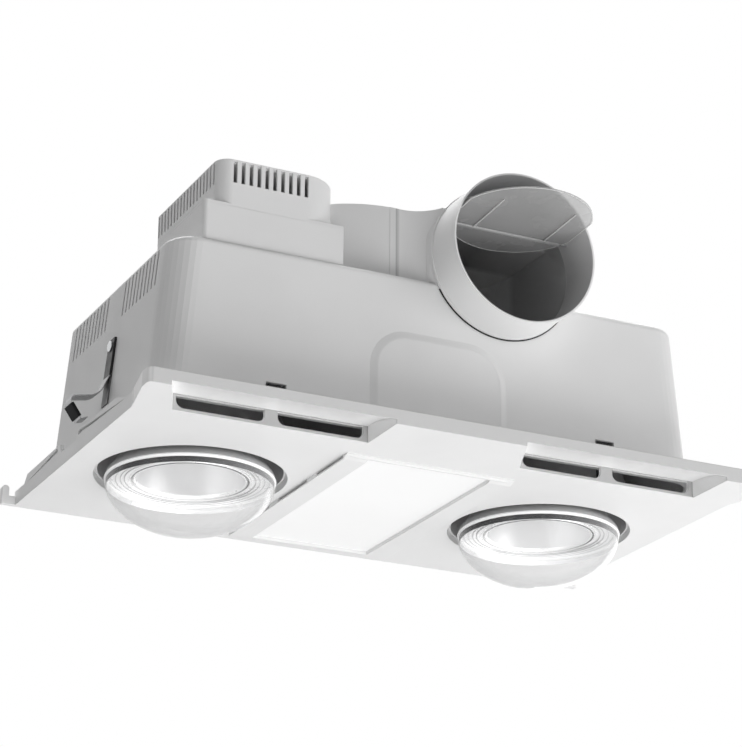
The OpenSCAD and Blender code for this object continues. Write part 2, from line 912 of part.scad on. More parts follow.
module latch_places() {
    for (x = [-latch_x, latch_x])
        for (side = [0, 1])
            translate([x + latch_shift, side == 0 ? front_y : back_y, 0])
                rotate([0, 0, side * 180])
                    children();
}

module housing() {
    color("silver")
        difference() {
            union() {
                body_form(0, 0);
                slab(-body_l / 2 - flange_w, body_l / 2 + flange_w, front_y - flange_w, back_y + flange_w,
                    -flange_t, 0, [body_r, body_r, body_back_r, body_back_r] + [1, 1, 1, 1] * flange_w);
                along_y(front_y - arch_t, front_y + wall / 2)
                    translate([0, -flange_t])
                        plan(-arch_w / 2, arch_w / 2, 0, arch_h + flange_t, [0, 0, arch_r, arch_r]);
            }
            body_form(wall, -flange_t - cut);
            both_sides()
                end_vents();
            latch_places()
                translate([-latch_w / 2, -cut - flange_w, latch_z])
                    cube([latch_w, flange_w + wall + 2 * cut, latch_h]);
            // Seat of the scroll and the notch for the duct
            translate([0, 0, body_h - body_top_r - cut])
                linear_extrude(body_top_r + 2 * cut)
                    scroll_plan(gap + 0.2 * seat_t, front_y + wall);
            rod_y(duct_x, duct_z, duct_r + gap, front_y - wall, neck_y);
            for (sx = [-1, 1])
                for (sy = [-1, 1])
                    translate([sx * fixing_x / 2, sy * fixing_y / 2, -flange_t - cut])
                        cylinder(r = fixing_r, h = flange_t + 2 * cut, $fn = small_sides);
            scroll_screw_places()
                translate([0, 0, -2 * wall])
                    cylinder(r = screw_r + screw_clear, h = 3 * wall, $fn = small_sides);
            clip_screw_places()
                cylinder(r = screw_r + screw_clear, h = 6 * wall, center = true, $fn = small_sides);
        }
}

module fascia_latches() {
    color("dimgray")
        latch_places()
            translate([0, wall + gap, 0])
                along_x_local(latch_w * 0.6)
                    polygon([[0, plate_z], [latch_t, plate_z], [latch_t, latch_z + latch_h - 2 * gap],
                        [0, latch_z + latch_h - 2 * gap], [-latch_nose, latch_z + 0.45 * latch_h],
                        [-latch_nose, latch_z + 0.3 * latch_h], [0, latch_z + 0.3 * latch_h]]);
}

module along_x_local(w) {
    translate([-w / 2, 0, 0])
        rotate([90, 0, 90])
            linear_extrude(w)
                children();
}

// Fan scroll
module quarter(c, r, x0, x1, y0, y1) {
    intersection() {
        translate(c)
            circle(r, $fn = 180);
        translate([x0, y0])
            square([x1 - x0, y1 - y0]);
    }
}

// Plan of the scroll, grown outward or inward, with its outlet open down to a given line
module scroll_plan(grow, y_end) {
    c1 = [arc_x, arc_y];
    c2 = [arc_x + scroll_step, arc_y];
    c3 = [arc_x + scroll_step, arc_y - scroll_step];
    quarter(c1, scroll_r + grow, -big, duct_left + (grow < 0 ? -scroll_t : scroll_t), -big, arc_y);
    quarter(c2, scroll_r + scroll_step + grow, -big, arc_x + scroll_step, arc_y, big);
    quarter(c3, scroll_r + 2 * scroll_step + grow, arc_x + scroll_step, big, arc_y - scroll_step, big);
    translate([duct_left - max(grow, 0), y_end])
        square([2 * duct_r + max(grow, 0) + grow, arc_y - scroll_step - y_end]);
    translate([arc_x + scroll_step - cut, neck_y])
        square([2 * scroll_step, arc_y - neck_y]);
}

module blend_plan() {
    start_y = front_y + scroll_set;
    difference() {
        translate([arc_x - blend_r / 6, root_y])
            square([blend_r + blend_r / 3, start_y + scroll_set - root_y]);
        translate([arc_x + blend_r / 7, start_y - blend_r])
            circle(blend_r);
        translate([arc_x - blend_r / 2, start_y - 2 * blend_r])
            square([blend_r / 2 + blend_r / 7, 2 * blend_r - gap]);
    }
}

module neck_form(inset) {
    hull() {
        rod_y(duct_x, duct_z, duct_r - neck_step - inset * duct_t / scroll_t, neck_end_y - neck_skin, neck_end_y);
        slab(duct_left + inset, scroll_right - inset, neck_y, neck_y + cut, scroll_z + inset,
            scroll_top_z - inset);
    }
}

module seat_point(arc, angle, r) {
    c = arc == 0 ? [arc_x, arc_y] : arc == 1 ? [arc_x + scroll_step, arc_y]
        : [arc_x + scroll_step, arc_y - scroll_step];
    translate([c[0] + r * cos(angle), c[1] + r * sin(angle), body_h])
        children();
}

module scroll_screw_places() {
    for (p = seat_screw_angles)
        seat_point(p[0], p[1], scroll_r + p[0] * scroll_step + seat_w / 2)
            children();
}

module fan_scroll() {
    color("lightgray")
        difference() {
            union() {
                translate([0, 0, scroll_z])
                    linear_extrude(scroll_h)
                        scroll_plan(0, neck_y);
                neck_form(0);
                rod_y(duct_x, duct_z, duct_r, mouth_y, spigot_end_y);
                // Low shoulder at the root, where the duct stops
                rod_y(duct_x, duct_z, root_r, root_y, front_y - gap);
                translate([0, 0, body_h + gap])
                    linear_extrude(scroll_rise - gap)
                        blend_plan();
                translate([0, 0, body_h])
                    linear_extrude(seat_t)
                        intersection() {
                            scroll_plan(seat_w, neck_y);
                            translate([-big, front_y + body_top_r])
                                square(2 * big);
                        }
            }
            translate([0, 0, scroll_z - cut])
                linear_extrude(scroll_h + cut - scroll_t)
                    scroll_plan(-scroll_t, neck_y);
            neck_form(scroll_t);
            rod_y(duct_x, duct_z, duct_r - duct_t, mouth_y - cut, spigot_end_y);
            rod_x(axle_y, axle_z, axle_r + running, duct_x - axle_reach - running, duct_x + axle_reach + running);
            scroll_screw_places()
                translate([0, 0, -cut])
                    cylinder(r = screw_r + screw_clear, h = seat_t + 2 * cut, $fn = small_sides);
        }
}

module inlet_plate() {
    lip_r = 6;
    color("lightgray")
        difference() {
            union() {
                translate([0, 0, scroll_z - scroll_t])
                    linear_extrude(scroll_t)
                        scroll_plan(0, neck_y);
                translate([fan_x, fan_y, scroll_z - scroll_t])
                    rotate_extrude()
                        difference() {
                            translate([inlet_r, 0])
                                square([lip_r, lip_r]);
                            translate([inlet_r + lip_r, lip_r])
                                circle(lip_r - scroll_t / 2, $fn = small_sides * 2);
                        }
            }
            translate([fan_x, fan_y, scroll_z - scroll_t - cut])
                cylinder(r = inlet_r, h = scroll_t + lip_r + 2 * cut);
        }
}

module scroll_screws() {
    color("silver")
        scroll_screw_places()
            translate([0, 0, -wall])
                round_screw(wall + seat_t);
}

// Backdraft flap, open
module flap() {
    color("lightgray", 0.6)
        translate([duct_x, axle_y, axle_z])
            rotate([-flap_tilt, 0, 0])
                difference() {
                    union() {
                        intersection() {
                            translate([0, -flap_up, -flap_t / 2])
                                cylinder(r = flap_r, h = flap_t);
                            translate([-flap_side, -big, -flap_t])
                                cube([2 * flap_side, 2 * big, 2 * flap_t]);
                        }
                        rod_x(0, 0, barrel_r, -0.88 * flap_side, 0.88 * flap_side);
                        for (x = rib_x)
                            translate([x, -0.72 * flap_r - flap_up / 2, -flap_t / 2 - rib_h])
                                cube([rib_h, 0.72 * flap_r + flap_up / 2, rib_h + flap_t / 2]);
                    }
                    rod_x(0, 0, axle_r + running, -duct_r, duct_r);
                }
}

module flap_axle() {
    color("silver")
        rod_x(axle_y, axle_z, axle_r, duct_x - axle_reach, duct_x + axle_reach);
}

// Fan wheel: forward curved blades between a back plate and an inlet ring, with a cup over the motor
module blade() {
    arc_r = blade_d * 0.9;
    mid_r = wheel_r - blade_d / 2;
    intersection() {
        translate([mid_r, -arc_r * 0.75])
            difference() {
                circle(arc_r, $fn = 48);
                circle(arc_r - blade_t, $fn = 48);
                translate([-2 * arc_r, -2 * arc_r])
                    square([4 * arc_r, 2 * arc_r]);
            }
        difference() {
            circle(wheel_r - blade_set);
            circle(wheel_r - blade_d);
        }
    }
}

module fan_wheel() {
    top_z = wheel_z + wheel_h;
    color("dimgray")
            translate([fan_x, fan_y, 0])
                union() {
                    translate([0, 0, wheel_z + ring_h / 2])
                        linear_extrude(wheel_h - ring_h / 2 - cup_t / 2)
                            for (i = [0:blade_count - 1])
                                rotate([0, 0, 360 * i / blade_count])
                                    blade();
                    rotate_extrude()
                        polygon([[shaft_r, cup_z - nut_h], [hub_r, cup_z - nut_h], [hub_r, cup_z - cup_t],
                            [cup_r + cup_t, cup_z - cup_t], [cup_r + cup_t, top_z - cup_t], [wheel_r, top_z - cup_t],
                            [wheel_r, top_z], [cup_r, top_z], [cup_r, cup_z], [shaft_r, cup_z]]);
                    rotate_extrude()
                        translate([wheel_r - blade_d / 2, wheel_z])
                            square([blade_d / 2, ring_h]);
                }
}

module wheel_nut() {
    color("silver")
        translate([fan_x, fan_y, cup_z - 2 * nut_h])
            difference() {
                cylinder(r = nut_r, h = nut_h, $fn = 6);
                translate([0, 0, -cut])
                    cylinder(r = shaft_r, h = nut_h + 2 * cut, $fn = small_sides);
            }
}

module motor_shaft() {
    color("silver")
        translate([fan_x, fan_y, cup_z - 2 * nut_h - gap])
            cylinder(r = shaft_r, h = motor_z + motor_h - cup_z + 2 * nut_h - 2 * shell_t, $fn = small_sides * 2);
}

module motor_rotor() {
    color("slategray")
        translate([fan_x, fan_y, motor_z + 2 * bearing_h])
            difference() {
                cylinder(r = rotor_r, h = motor_h - 4 * bearing_h, $fn = small_sides * 2);
                translate([0, 0, -cut])
                    cylinder(r = shaft_r, h = motor_h, $fn = small_sides * 2);
            }
}

module motor_can() {
    color("silver")
        translate([fan_x, fan_y, motor_z])
            rotate_extrude()
                polygon([[shaft_r + gap, 0], [motor_r, 0], [motor_r, motor_h], [0, motor_h], [0, motor_h - shell_t],
                    [bearing_r, motor_h - shell_t], [bearing_r, motor_h - shell_t - bearing_h],
                    [bearing_r + shell_t, motor_h - shell_t - bearing_h], [bearing_r + shell_t, motor_h - shell_t],
                    [motor_r - shell_t, motor_h - shell_t], [motor_r - shell_t, shell_t],
                    [bearing_r + shell_t, shell_t], [bearing_r + shell_t, shell_t + bearing_h],
                    [bearing_r, shell_t + bearing_h], [bearing_r, shell_t], [shaft_r + gap, shell_t]]);
}

module motor_stator() {
    color("peru")
        translate([fan_x, fan_y, motor_z + 2 * bearing_h])
            difference() {
                cylinder(r = motor_r - shell_t, h = motor_h - 4 * bearing_h);
                translate([0, 0, -cut])
                    cylinder(r = rotor_r + 2 * gap, h = motor_h);
                for (a = [30:60:330])
                    rotate([0, 0, a])
                        translate([rotor_r + stator_t / 2 + 2 * gap, 0, -cut])
                            cylinder(r = stator_t / 3, h = motor_h, $fn = small_sides);
            }
}

module motor_bearings() {
    color("goldenrod")
        for (z = [motor_z + shell_t, motor_z + motor_h - shell_t - bearing_h])
            translate([fan_x, fan_y, z])
                difference() {
                    cylinder(r = bearing_r, h = bearing_h, $fn = small_sides * 2);
                    translate([0, 0, -cut])
                        cylinder(r = shaft_r + running, h = bearing_h + 2 * cut, $fn = small_sides * 2);
                }
}

module motor_bracket() {
    z0 = motor_z + motor_h;
    z1 = scroll_top_z - scroll_t;
    color("silver")
        translate([fan_x, fan_y, 0])
            union() {
                translate([0, 0, z0])
                    cylinder(r = motor_r, h = bracket_t);
                for (a = [90, 210, 330])
                    rotate([0, 0, a]) {
                        translate([0, -bracket_post_r, z0])
                            cube([motor_r + bracket_reach, 2 * bracket_post_r, bracket_t]);
                        translate([motor_r + bracket_reach, 0, z0])
                            cylinder(r = bracket_post_r, h = z1 - z0, $fn = small_sides);
                    }
            }
}

// Terminal box
module box_plan(left, inset, corners) {
    difference() {
        plan(left + inset, base_right - inset, base_front + inset, base_back - inset, corners);
        scroll_plan(seat_w + 2 * gap + inset, front_y - big);
    }
}

module base_plan(inset) {
    square_r = 3;
    difference() {
        union() {
            plan(base_left + inset, base_right - inset, base_front + inset, base_step_y - inset,
                [square_r, inset > 0 ? 0 : 1, 0, 0]);
            plan(cover_left + inset, base_right - inset, base_front + inset, base_back - inset);
        }
        scroll_plan(seat_w + 2 * gap + inset, front_y - big);
    }
}

module terminal_base() {
    color("silver")
        difference() {
            translate([0, 0, base_z])
                linear_extrude(base_h)
                    base_plan(0);
            translate([0, 0, base_z + box_t])
                linear_extrude(base_h)
                    base_plan(box_t);
            rod_y(gland_x, gland_z, gland_r + screw_clear, base_back - 2 * box_t, base_back + cut);
        }
}

function cover_corners(inset) = [max(cover_corner_left - inset, 0), max(cover_corner_right - inset, 0),
    max(cover_corner_back - inset, 0), max(cover_corner_back - inset, 0)];

module terminal_cover() {
    color("silver")
        difference() {
            union() {
                translate([0, 0, cover_z])
                    linear_extrude(cover_h)
                        box_plan(cover_left, 0, cover_corners(0));
                // Deck over the base's step beside the cover
                translate([0, 0, cover_z])
                    linear_extrude(box_t)
                        base_plan(0);
            }
            translate([0, 0, cover_z - cut])
                linear_extrude(cover_h + cut - box_t)
                    box_plan(cover_left, box_t, cover_corners(box_t));
            for (i = [0:front_slots - 1])
                translate([cover_left + cover_corner_left + i * vent_pitch, base_front - cut,
                    cover_top - vent_drop - vent_h])
                    cube([vent_w, box_t + 2 * cut, vent_h]);
            for (i = [0:side_slots - 1])
                translate([cover_left - cut, base_front + cover_corner_left - vent_w / 2 + i * vent_pitch,
                    cover_top - vent_drop - vent_h])
                    cube([box_t + 2 * cut, vent_w * 0.8, vent_h]);
            cover_screw_places()
                translate([0, 0, -2 * box_t])
                    cylinder(r = screw_r + screw_clear, h = 4 * box_t, $fn = small_sides);
        }
}

module cover_screw_places() {
    for (y = [base_front + cover_step / 2, base_step_y - cover_step / 2])
        translate([base_left + cover_step / 2, y, cover_z])
            children();
}

module cover_screws() {
    color("silver")
        cover_screw_places()
            round_screw(box_t);
}

module block_place() {
    translate([gland_x - 6, -34, base_z + box_t])
        children();
}

module terminal_block() {
    color("white")
        block_place()
            difference() {
                union() {
                    slab(-block_l / 2, block_l / 2, -block_w / 2, block_w / 2, 0, block_h / 2);
                    for (i = [0:pole_count - 1])
                        translate([(i - (pole_count - 1) / 2) * pole_pitch, 0, 0])
                            slab(-0.4 * pole_pitch, 0.4 * pole_pitch, -block_w / 2, block_w / 2, 0, block_h);
                }
                for (i = [0:pole_count - 1])
                    translate([(i - (pole_count - 1) / 2) * pole_pitch, 0, 0]) {
                        rod_y(0, block_h * 0.65, 0.22 * pole_pitch, -block_w, block_w, small_sides);
                        for (s = [-1, 1])
                            translate([0, s * block_w / 4, block_h * 0.65])
                                cylinder(r = screw_r + screw_clear, h = block_h, $fn = small_sides);
                    }
            }
}

module terminal_screws() {
    color("silver")
        block_place()
            for (i = [0:pole_count - 1])
                for (s = [-1, 1])
                    translate([(i - (pole_count - 1) / 2) * pole_pitch, s * block_w / 4, block_h * 0.75])
                        difference() {
                            cylinder(r = screw_r, h = block_h * 0.2, $fn = small_sides);
                            translate([-screw_r, -screw_r / 5, block_h * 0.15])
                                cube([2 * screw_r, screw_r / 2.5, block_h]);
                        }
}

module run_capacitor() {
    color("white")
        translate([gland_x - cap_can_l / 2, base_front + box_t + gap + cap_can_r, base_z + box_t + cap_can_r])
            rotate([0, 90, 0])
                union() {
                    cylinder(r = cap_can_r, h = cap_can_l);
                    for (s = [-1, 1])
                        translate([-1, s * cap_can_r / 2 - 0.5, cap_can_l])
                            cube([2, 1, 5]);
                }
}

module cable_gland() {
    color("dimgray")
        difference() {
            union() {
                rod_y(gland_x, gland_z, gland_r, base_back - 2 * box_t - gap, base_back);
                rod_y(gland_x, gland_z, gland_flange_r, base_back, base_back + 0.3 * gland_out);
                rod_y(gland_x, gland_z, gland_flange_r - gland_step, base_back, base_back + gland_out, 6);
            }
            rod_y(gland_x, gland_z, entry_r, base_back - 2 * box_t - cut, base_back + gland_out + cut);
        }
}

// Spring clips, drawn on the +X end and mirrored for the other
function arc_points(cx, cz, r, a0, a1, n) = [for (i = [0:n])
    let (a = a0 + (a1 - a0) * i / n)
    [cx + r * cos(a), cz + r * sin(a)]];

leaf_turn_x = leaf_x + clip_lead + clip_bend_r;
leaf_out_z = clip_bend_z - clip_bend_r;
foot_x = leaf_turn_x + clip_reach;
foot_z = leaf_out_z - clip_fall - foot_r;
foot_end = [foot_x + foot_r * cos(foot_angle) - foot_l * sin(foot_angle),
    foot_z - foot_r * sin(foot_angle) - foot_l * cos(foot_angle)];

// One face of the strip: the whole route moved sideways by half its thickness
function leaf_side(o) = concat(
    [[leaf_x - o, clip_root_z]],
    arc_points(leaf_turn_x, clip_bend_z, clip_bend_r + o, 195, 265, 8),
    arc_points(foot_x, foot_z, foot_r - o, 80, -foot_angle, 6),
    [[foot_end[0] - o * cos(foot_angle), foot_end[1] + o * sin(foot_angle)],
        [foot_end[0] - lip_l, foot_end[1] + lip_l / 3 + o]]);

module clip_leaf() {
    o = clip_t / 2;
    inner = leaf_side(o);
    outer = leaf_side(-o);
    color("gray")
        along_y(clip_y - clip_w / 2, clip_y + clip_w / 2)
            polygon(concat(inner, [for (i = [len(outer) - 1:-1:0]) outer[i]]));
}

module clip_foot() {
    w = clip_w + 2 * sleeve_t;
    top = [foot_x + foot_r * cos(foot_angle), foot_z - foot_r * sin(foot_angle)];
    color("black")
        translate([top[0], clip_y, top[1]])
            rotate([0, foot_angle, 0])
                translate([0, 0, -0.86 * foot_l])
                    difference() {
                        translate([-clip_t / 2 - sleeve_t, -w / 2, 0])
                            cube([clip_t + 2 * sleeve_t, w, 0.86 * foot_l]);
                        translate([-clip_t / 2 - screw_clear, -clip_w / 2 - screw_clear, -cut])
                            cube([clip_t + 2 * screw_clear, clip_w + 2 * screw_clear, foot_l + 2 * cut]);
                    }
}

module clip_bracket() {
    inner = gap;
    layer = gap + clip_t;
    color("gray")
        difference() {
            along_y(clip_y - clip_w / 2, clip_y + clip_w / 2)
                polygon([[end_x(clip_tail_z) + inner, clip_tail_z], [end_x(clip_tail_z) + layer, clip_tail_z],
                    [end_x(clip_root_z) + layer, clip_root_z + gap],
                    [leaf_x + clip_t / 2, clip_root_z + gap],
                    [end_x(clip_top_z) + layer + clip_t, clip_top_z], [end_x(clip_top_z) + inner, clip_top_z]]);
            translate([end_x(clip_z), clip_y, clip_z])
                rotate([0, 90, 0])
                    cylinder(r = screw_r + screw_clear, h = 6 * wall, center = true, $fn = small_sides);
        }
}

module clip_screw_places() {
    for (side = [0, 1])
        mirror([side, 0, 0])
            translate([end_x(clip_z), clip_y, clip_z])
                rotate([0, 90, 0])
                    children();
}

module clip_screws() {
    color("silver")
        clip_screw_places()
            translate([0, 0, -wall])
                union() {
                    cylinder(r = screw_r, h = wall + 2 * gap + 2 * clip_t + clip_head_lift, $fn = small_sides);
                    translate([0, 0, wall + 2 * gap + 2 * clip_t + clip_head_lift])
                        intersection() {
                            cylinder(r = clip_screw_head_r, h = screw_head_h);
                            translate([0, 0, screw_head_h - 2 * clip_screw_head_r])
                                sphere(r = 2 * clip_screw_head_r);
                        }
                }
}

module at_lamp(side) {
    translate([side * lamp_x, lamp_y, 0])
        children();
}

module left() {
    mirror([1, 0, 0])
        children();
}

fascia_panel();
centre_module();
led_diffuser();
led_tray();
led_board();
led_driver();
module_screws();
at_lamp(-1) lamp_glass();  // lamp_glass_left
at_lamp(1) lamp_glass();  // lamp_glass_right
at_lamp(-1) lamp_cap();  // lamp_cap_left
at_lamp(1) lamp_cap();  // lamp_cap_right
at_lamp(-1) lamp_filament();  // lamp_filament_left
at_lamp(1) lamp_filament();  // lamp_filament_right
at_lamp(-1) lamp_shroud();  // lamp_shroud_left
at_lamp(1) lamp_shroud();  // lamp_shroud_right
at_lamp(-1) lampholder();  // lampholder_left
at_lamp(1) lampholder();  // lampholder_right
at_lamp(-1) lamp_bracket();  // lamp_bracket_left
at_lamp(1) lamp_bracket();  // lamp_bracket_right
housing();
fascia_latches();
fan_scroll();
inlet_plate();
scroll_screws();
flap();
flap_axle();
fan_wheel();
wheel_nut();
motor_shaft();
motor_rotor();
motor_can();
motor_stator();
motor_bearings();
motor_bracket();
terminal_base();
terminal_cover();
terminal_block();
terminal_screws();
cover_screws();
run_capacitor();
cable_gland();
left() clip_bracket();  // clip_bracket_left
clip_bracket();  // clip_bracket_right
left() clip_leaf();  // clip_leaf_left
clip_leaf();  // clip_leaf_right
left() clip_foot();  // clip_foot_left
clip_foot();  // clip_foot_right
clip_screws();
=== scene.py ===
"""Looks for a ceiling heater with two heat lamps, a light panel and an exhaust fan."""

import math

import bmesh
import bpy
from mathutils import Matrix, Vector


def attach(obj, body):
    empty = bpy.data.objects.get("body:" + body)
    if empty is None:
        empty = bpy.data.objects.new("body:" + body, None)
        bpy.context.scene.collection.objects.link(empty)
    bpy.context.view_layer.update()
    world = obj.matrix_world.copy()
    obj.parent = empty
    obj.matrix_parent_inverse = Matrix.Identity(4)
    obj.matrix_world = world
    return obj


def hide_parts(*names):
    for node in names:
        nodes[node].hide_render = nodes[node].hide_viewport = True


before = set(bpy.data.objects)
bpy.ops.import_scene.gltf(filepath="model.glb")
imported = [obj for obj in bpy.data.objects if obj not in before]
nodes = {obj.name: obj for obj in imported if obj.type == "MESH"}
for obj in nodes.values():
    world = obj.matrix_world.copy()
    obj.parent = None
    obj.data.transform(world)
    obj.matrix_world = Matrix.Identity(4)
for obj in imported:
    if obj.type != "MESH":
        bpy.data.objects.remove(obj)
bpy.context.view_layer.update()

MM = 0.001

# Sizes that part.scad names, in millimetres
LAMP_X, LAMP_Y = 146.0, 23.5
LAMP_R, RING_Z, BOWL_DEPTH = 62.8, -21.5, 39.0
NECK_R, NECK_Z, LAMP_TOP_Z = 19.0, 60.0, 83.0
FRONT_Y, BODY_H = -90.0, 122.0
DUCT_X, DUCT_Z, DUCT_BORE = 53.0, 146.0, 57.5
MOUTH_Y, NECK_END_Y = -127.0, -8.0
AXLE_Y, AXLE_Z = -97.0, 169.5
FLAP_R, FLAP_SIDE, FLAP_UP, FLAP_TILT = 53.5, 50.8, 23.5, 2.75
NEAR_Y, FACE_Z, RISER_Y, SCOOP_H = -149.0, -18.0, -103.0, 12.6
CLIP_ROOT_Z = 44.0
ARCH_W, ARCH_H, ARCH_R, ARCH_T = 100.0, 72.0, 25.0, 1.6

# Sizes of what only the scene has, in millimetres
DISH_LINE_R = 42.55
PRESSED_RINGS = (48.0, 51.0, 54.5, 58.0)
RIB_X, RIB_DROP = (-28.6, 31.4), -1.55
# size of the painted shadow ring at the spigot's root
ROOT_SHADOW_R, ROOT_SHADOW_BEAD = 60.15, 0.55
LAMP_SIDES = 160


# Camera
def place_camera():
    """The camera that was solved from the photograph, in the same frame as the solids."""
    camera = bpy.data.objects.new("camera", bpy.data.cameras.new("camera"))
    bpy.context.scene.collection.objects.link(camera)
    right = Vector((0.89772249, -0.44051914, 0.00610111))
    down = Vector((0.16231759, 0.31784504, -0.93414535))
    forward = Vector((0.4095697, 0.8395936, 0.35684064))
    turn = Matrix((right, -down, -forward)).transposed()
    camera.matrix_world = Matrix.Translation((-0.8215842, -1.6616746, -0.6275035)) @ turn.to_4x4()
    camera.data.sensor_width = 36.0
    camera.data.lens = 125.775
    camera.data.clip_start = 0.05
    camera.data.clip_end = 50.0
    bpy.context.scene.camera = camera


place_camera()


# Studio
def area_lamp(name, place, aim, width, height, power):
    """A white soft box at a place, turned towards a point."""
    light = bpy.data.lights.new(name, "AREA")
    light.shape = "RECTANGLE"
    light.size = width
    light.size_y = height
    light.energy = power
    lamp = bpy.data.objects.new(name, light)
    lamp.location = place
    lamp.rotation_euler = (Vector(aim) - Vector(place)).to_track_quat("-Z", "Y").to_euler()
    bpy.context.scene.collection.objects.link(lamp)
    return lamp


def white_to_camera(tree, plain, bright):
    """Mixes a plain shader with a white glow that only camera, mirror and glass rays see."""
    path = tree.nodes.new("ShaderNodeLightPath")
    seen = tree.nodes.new("ShaderNodeMath")
    seen.operation = "MAXIMUM"
    also = tree.nodes.new("ShaderNodeMath")
    also.operation = "MAXIMUM"
    tree.links.new(path.outputs["Is Camera Ray"], seen.inputs[0])
    tree.links.new(path.outputs["Is Glossy Ray"], also.inputs[0])
    tree.links.new(path.outputs["Is Transmission Ray"], also.inputs[1])
    tree.links.new(also.outputs[0], seen.inputs[1])
    mix = tree.nodes.new("ShaderNodeMixShader")
    tree.links.new(seen.outputs[0], mix.inputs["Fac"])
    tree.links.new(plain, mix.inputs[1])
    tree.links.new(bright, mix.inputs[2])
    return mix.outputs[0]


def light_world(strength):
    """An even white surround, seen as pure white behind the object."""
    world = bpy.data.worlds.new("studio")
    bpy.context.scene.world = world
    world.use_nodes = True
    tree = world.node_tree
    tree.nodes.clear()
    out = tree.nodes.new("ShaderNodeOutputWorld")
    plain = tree.nodes.new("ShaderNodeBackground")
    bright = tree.nodes.new("ShaderNodeBackground")
    for node, level in ((plain, strength), (bright, 1.0)):
        node.inputs["Color"].default_value = (1.0, 1.0, 1.0, 1.0)
        node.inputs["Strength"].default_value = level
    seen = white_to_camera(tree, plain.outputs[0], bright.outputs[0])
    tree.links.new(seen, out.inputs["Surface"])


def lay_floor(height, size):
    """A pale floor, well below the unit, as under a ceiling."""
    mesh = bpy.data.meshes.new("floor")
    half = size / 2
    mesh.from_pydata([(-half, -half, height), (half, -half, height), (half, half, height),
                      (-half, half, height)], [], [(0, 1, 2, 3)])
    floor = bpy.data.objects.new("floor", mesh)
    bpy.context.scene.collection.objects.link(floor)
    paint = bpy.data.materials.new("floor_paint")
    paint.use_nodes = True
    shader = paint.node_tree.nodes["Principled BSDF"]
    shader.inputs["Base Color"].default_value = (0.86, 0.86, 0.86, 1.0)
    shader.inputs["Roughness"].default_value = 0.7
    mesh.materials.append(paint)


# Name, place, point it is turned to, width, height and power of each soft box
SOFT_BOXES = (
    ("key", (0.3, -1.0, -2.2), (0.0, 0.0, 0.0), 3.0, 3.0, 71.0),
    ("right_fill", (2.2, -1.5, -0.6), (0.0, 0.0, 0.0), 1.2, 1.2, 22.0),
    ("front", (0.4, -2.6, 0.5), (0.0, 0.0, 0.05), 1.6, 1.6, 6.0),
    ("left_fill", (-2.2, -0.6, -0.3), (0.0, 0.0, 0.0), 1.0, 1.6, 4.2),
    ("top", (0.3, 0.7, 1.9), (0.0, 0.0, 0.1), 2.0, 1.4, 40.0),
    ("back_fill", (1.7, 1.5, 0.2), (0.0, 0.0, 0.1), 1.4, 1.2, 10.0))
WORLD_LEVEL, FLOOR_Z, FLOOR_SIZE = 0.2, -2.4, 3.4

light_world(WORLD_LEVEL)
lay_floor(FLOOR_Z, FLOOR_SIZE)
for soft_box in SOFT_BOXES:
    area_lamp(*soft_box)


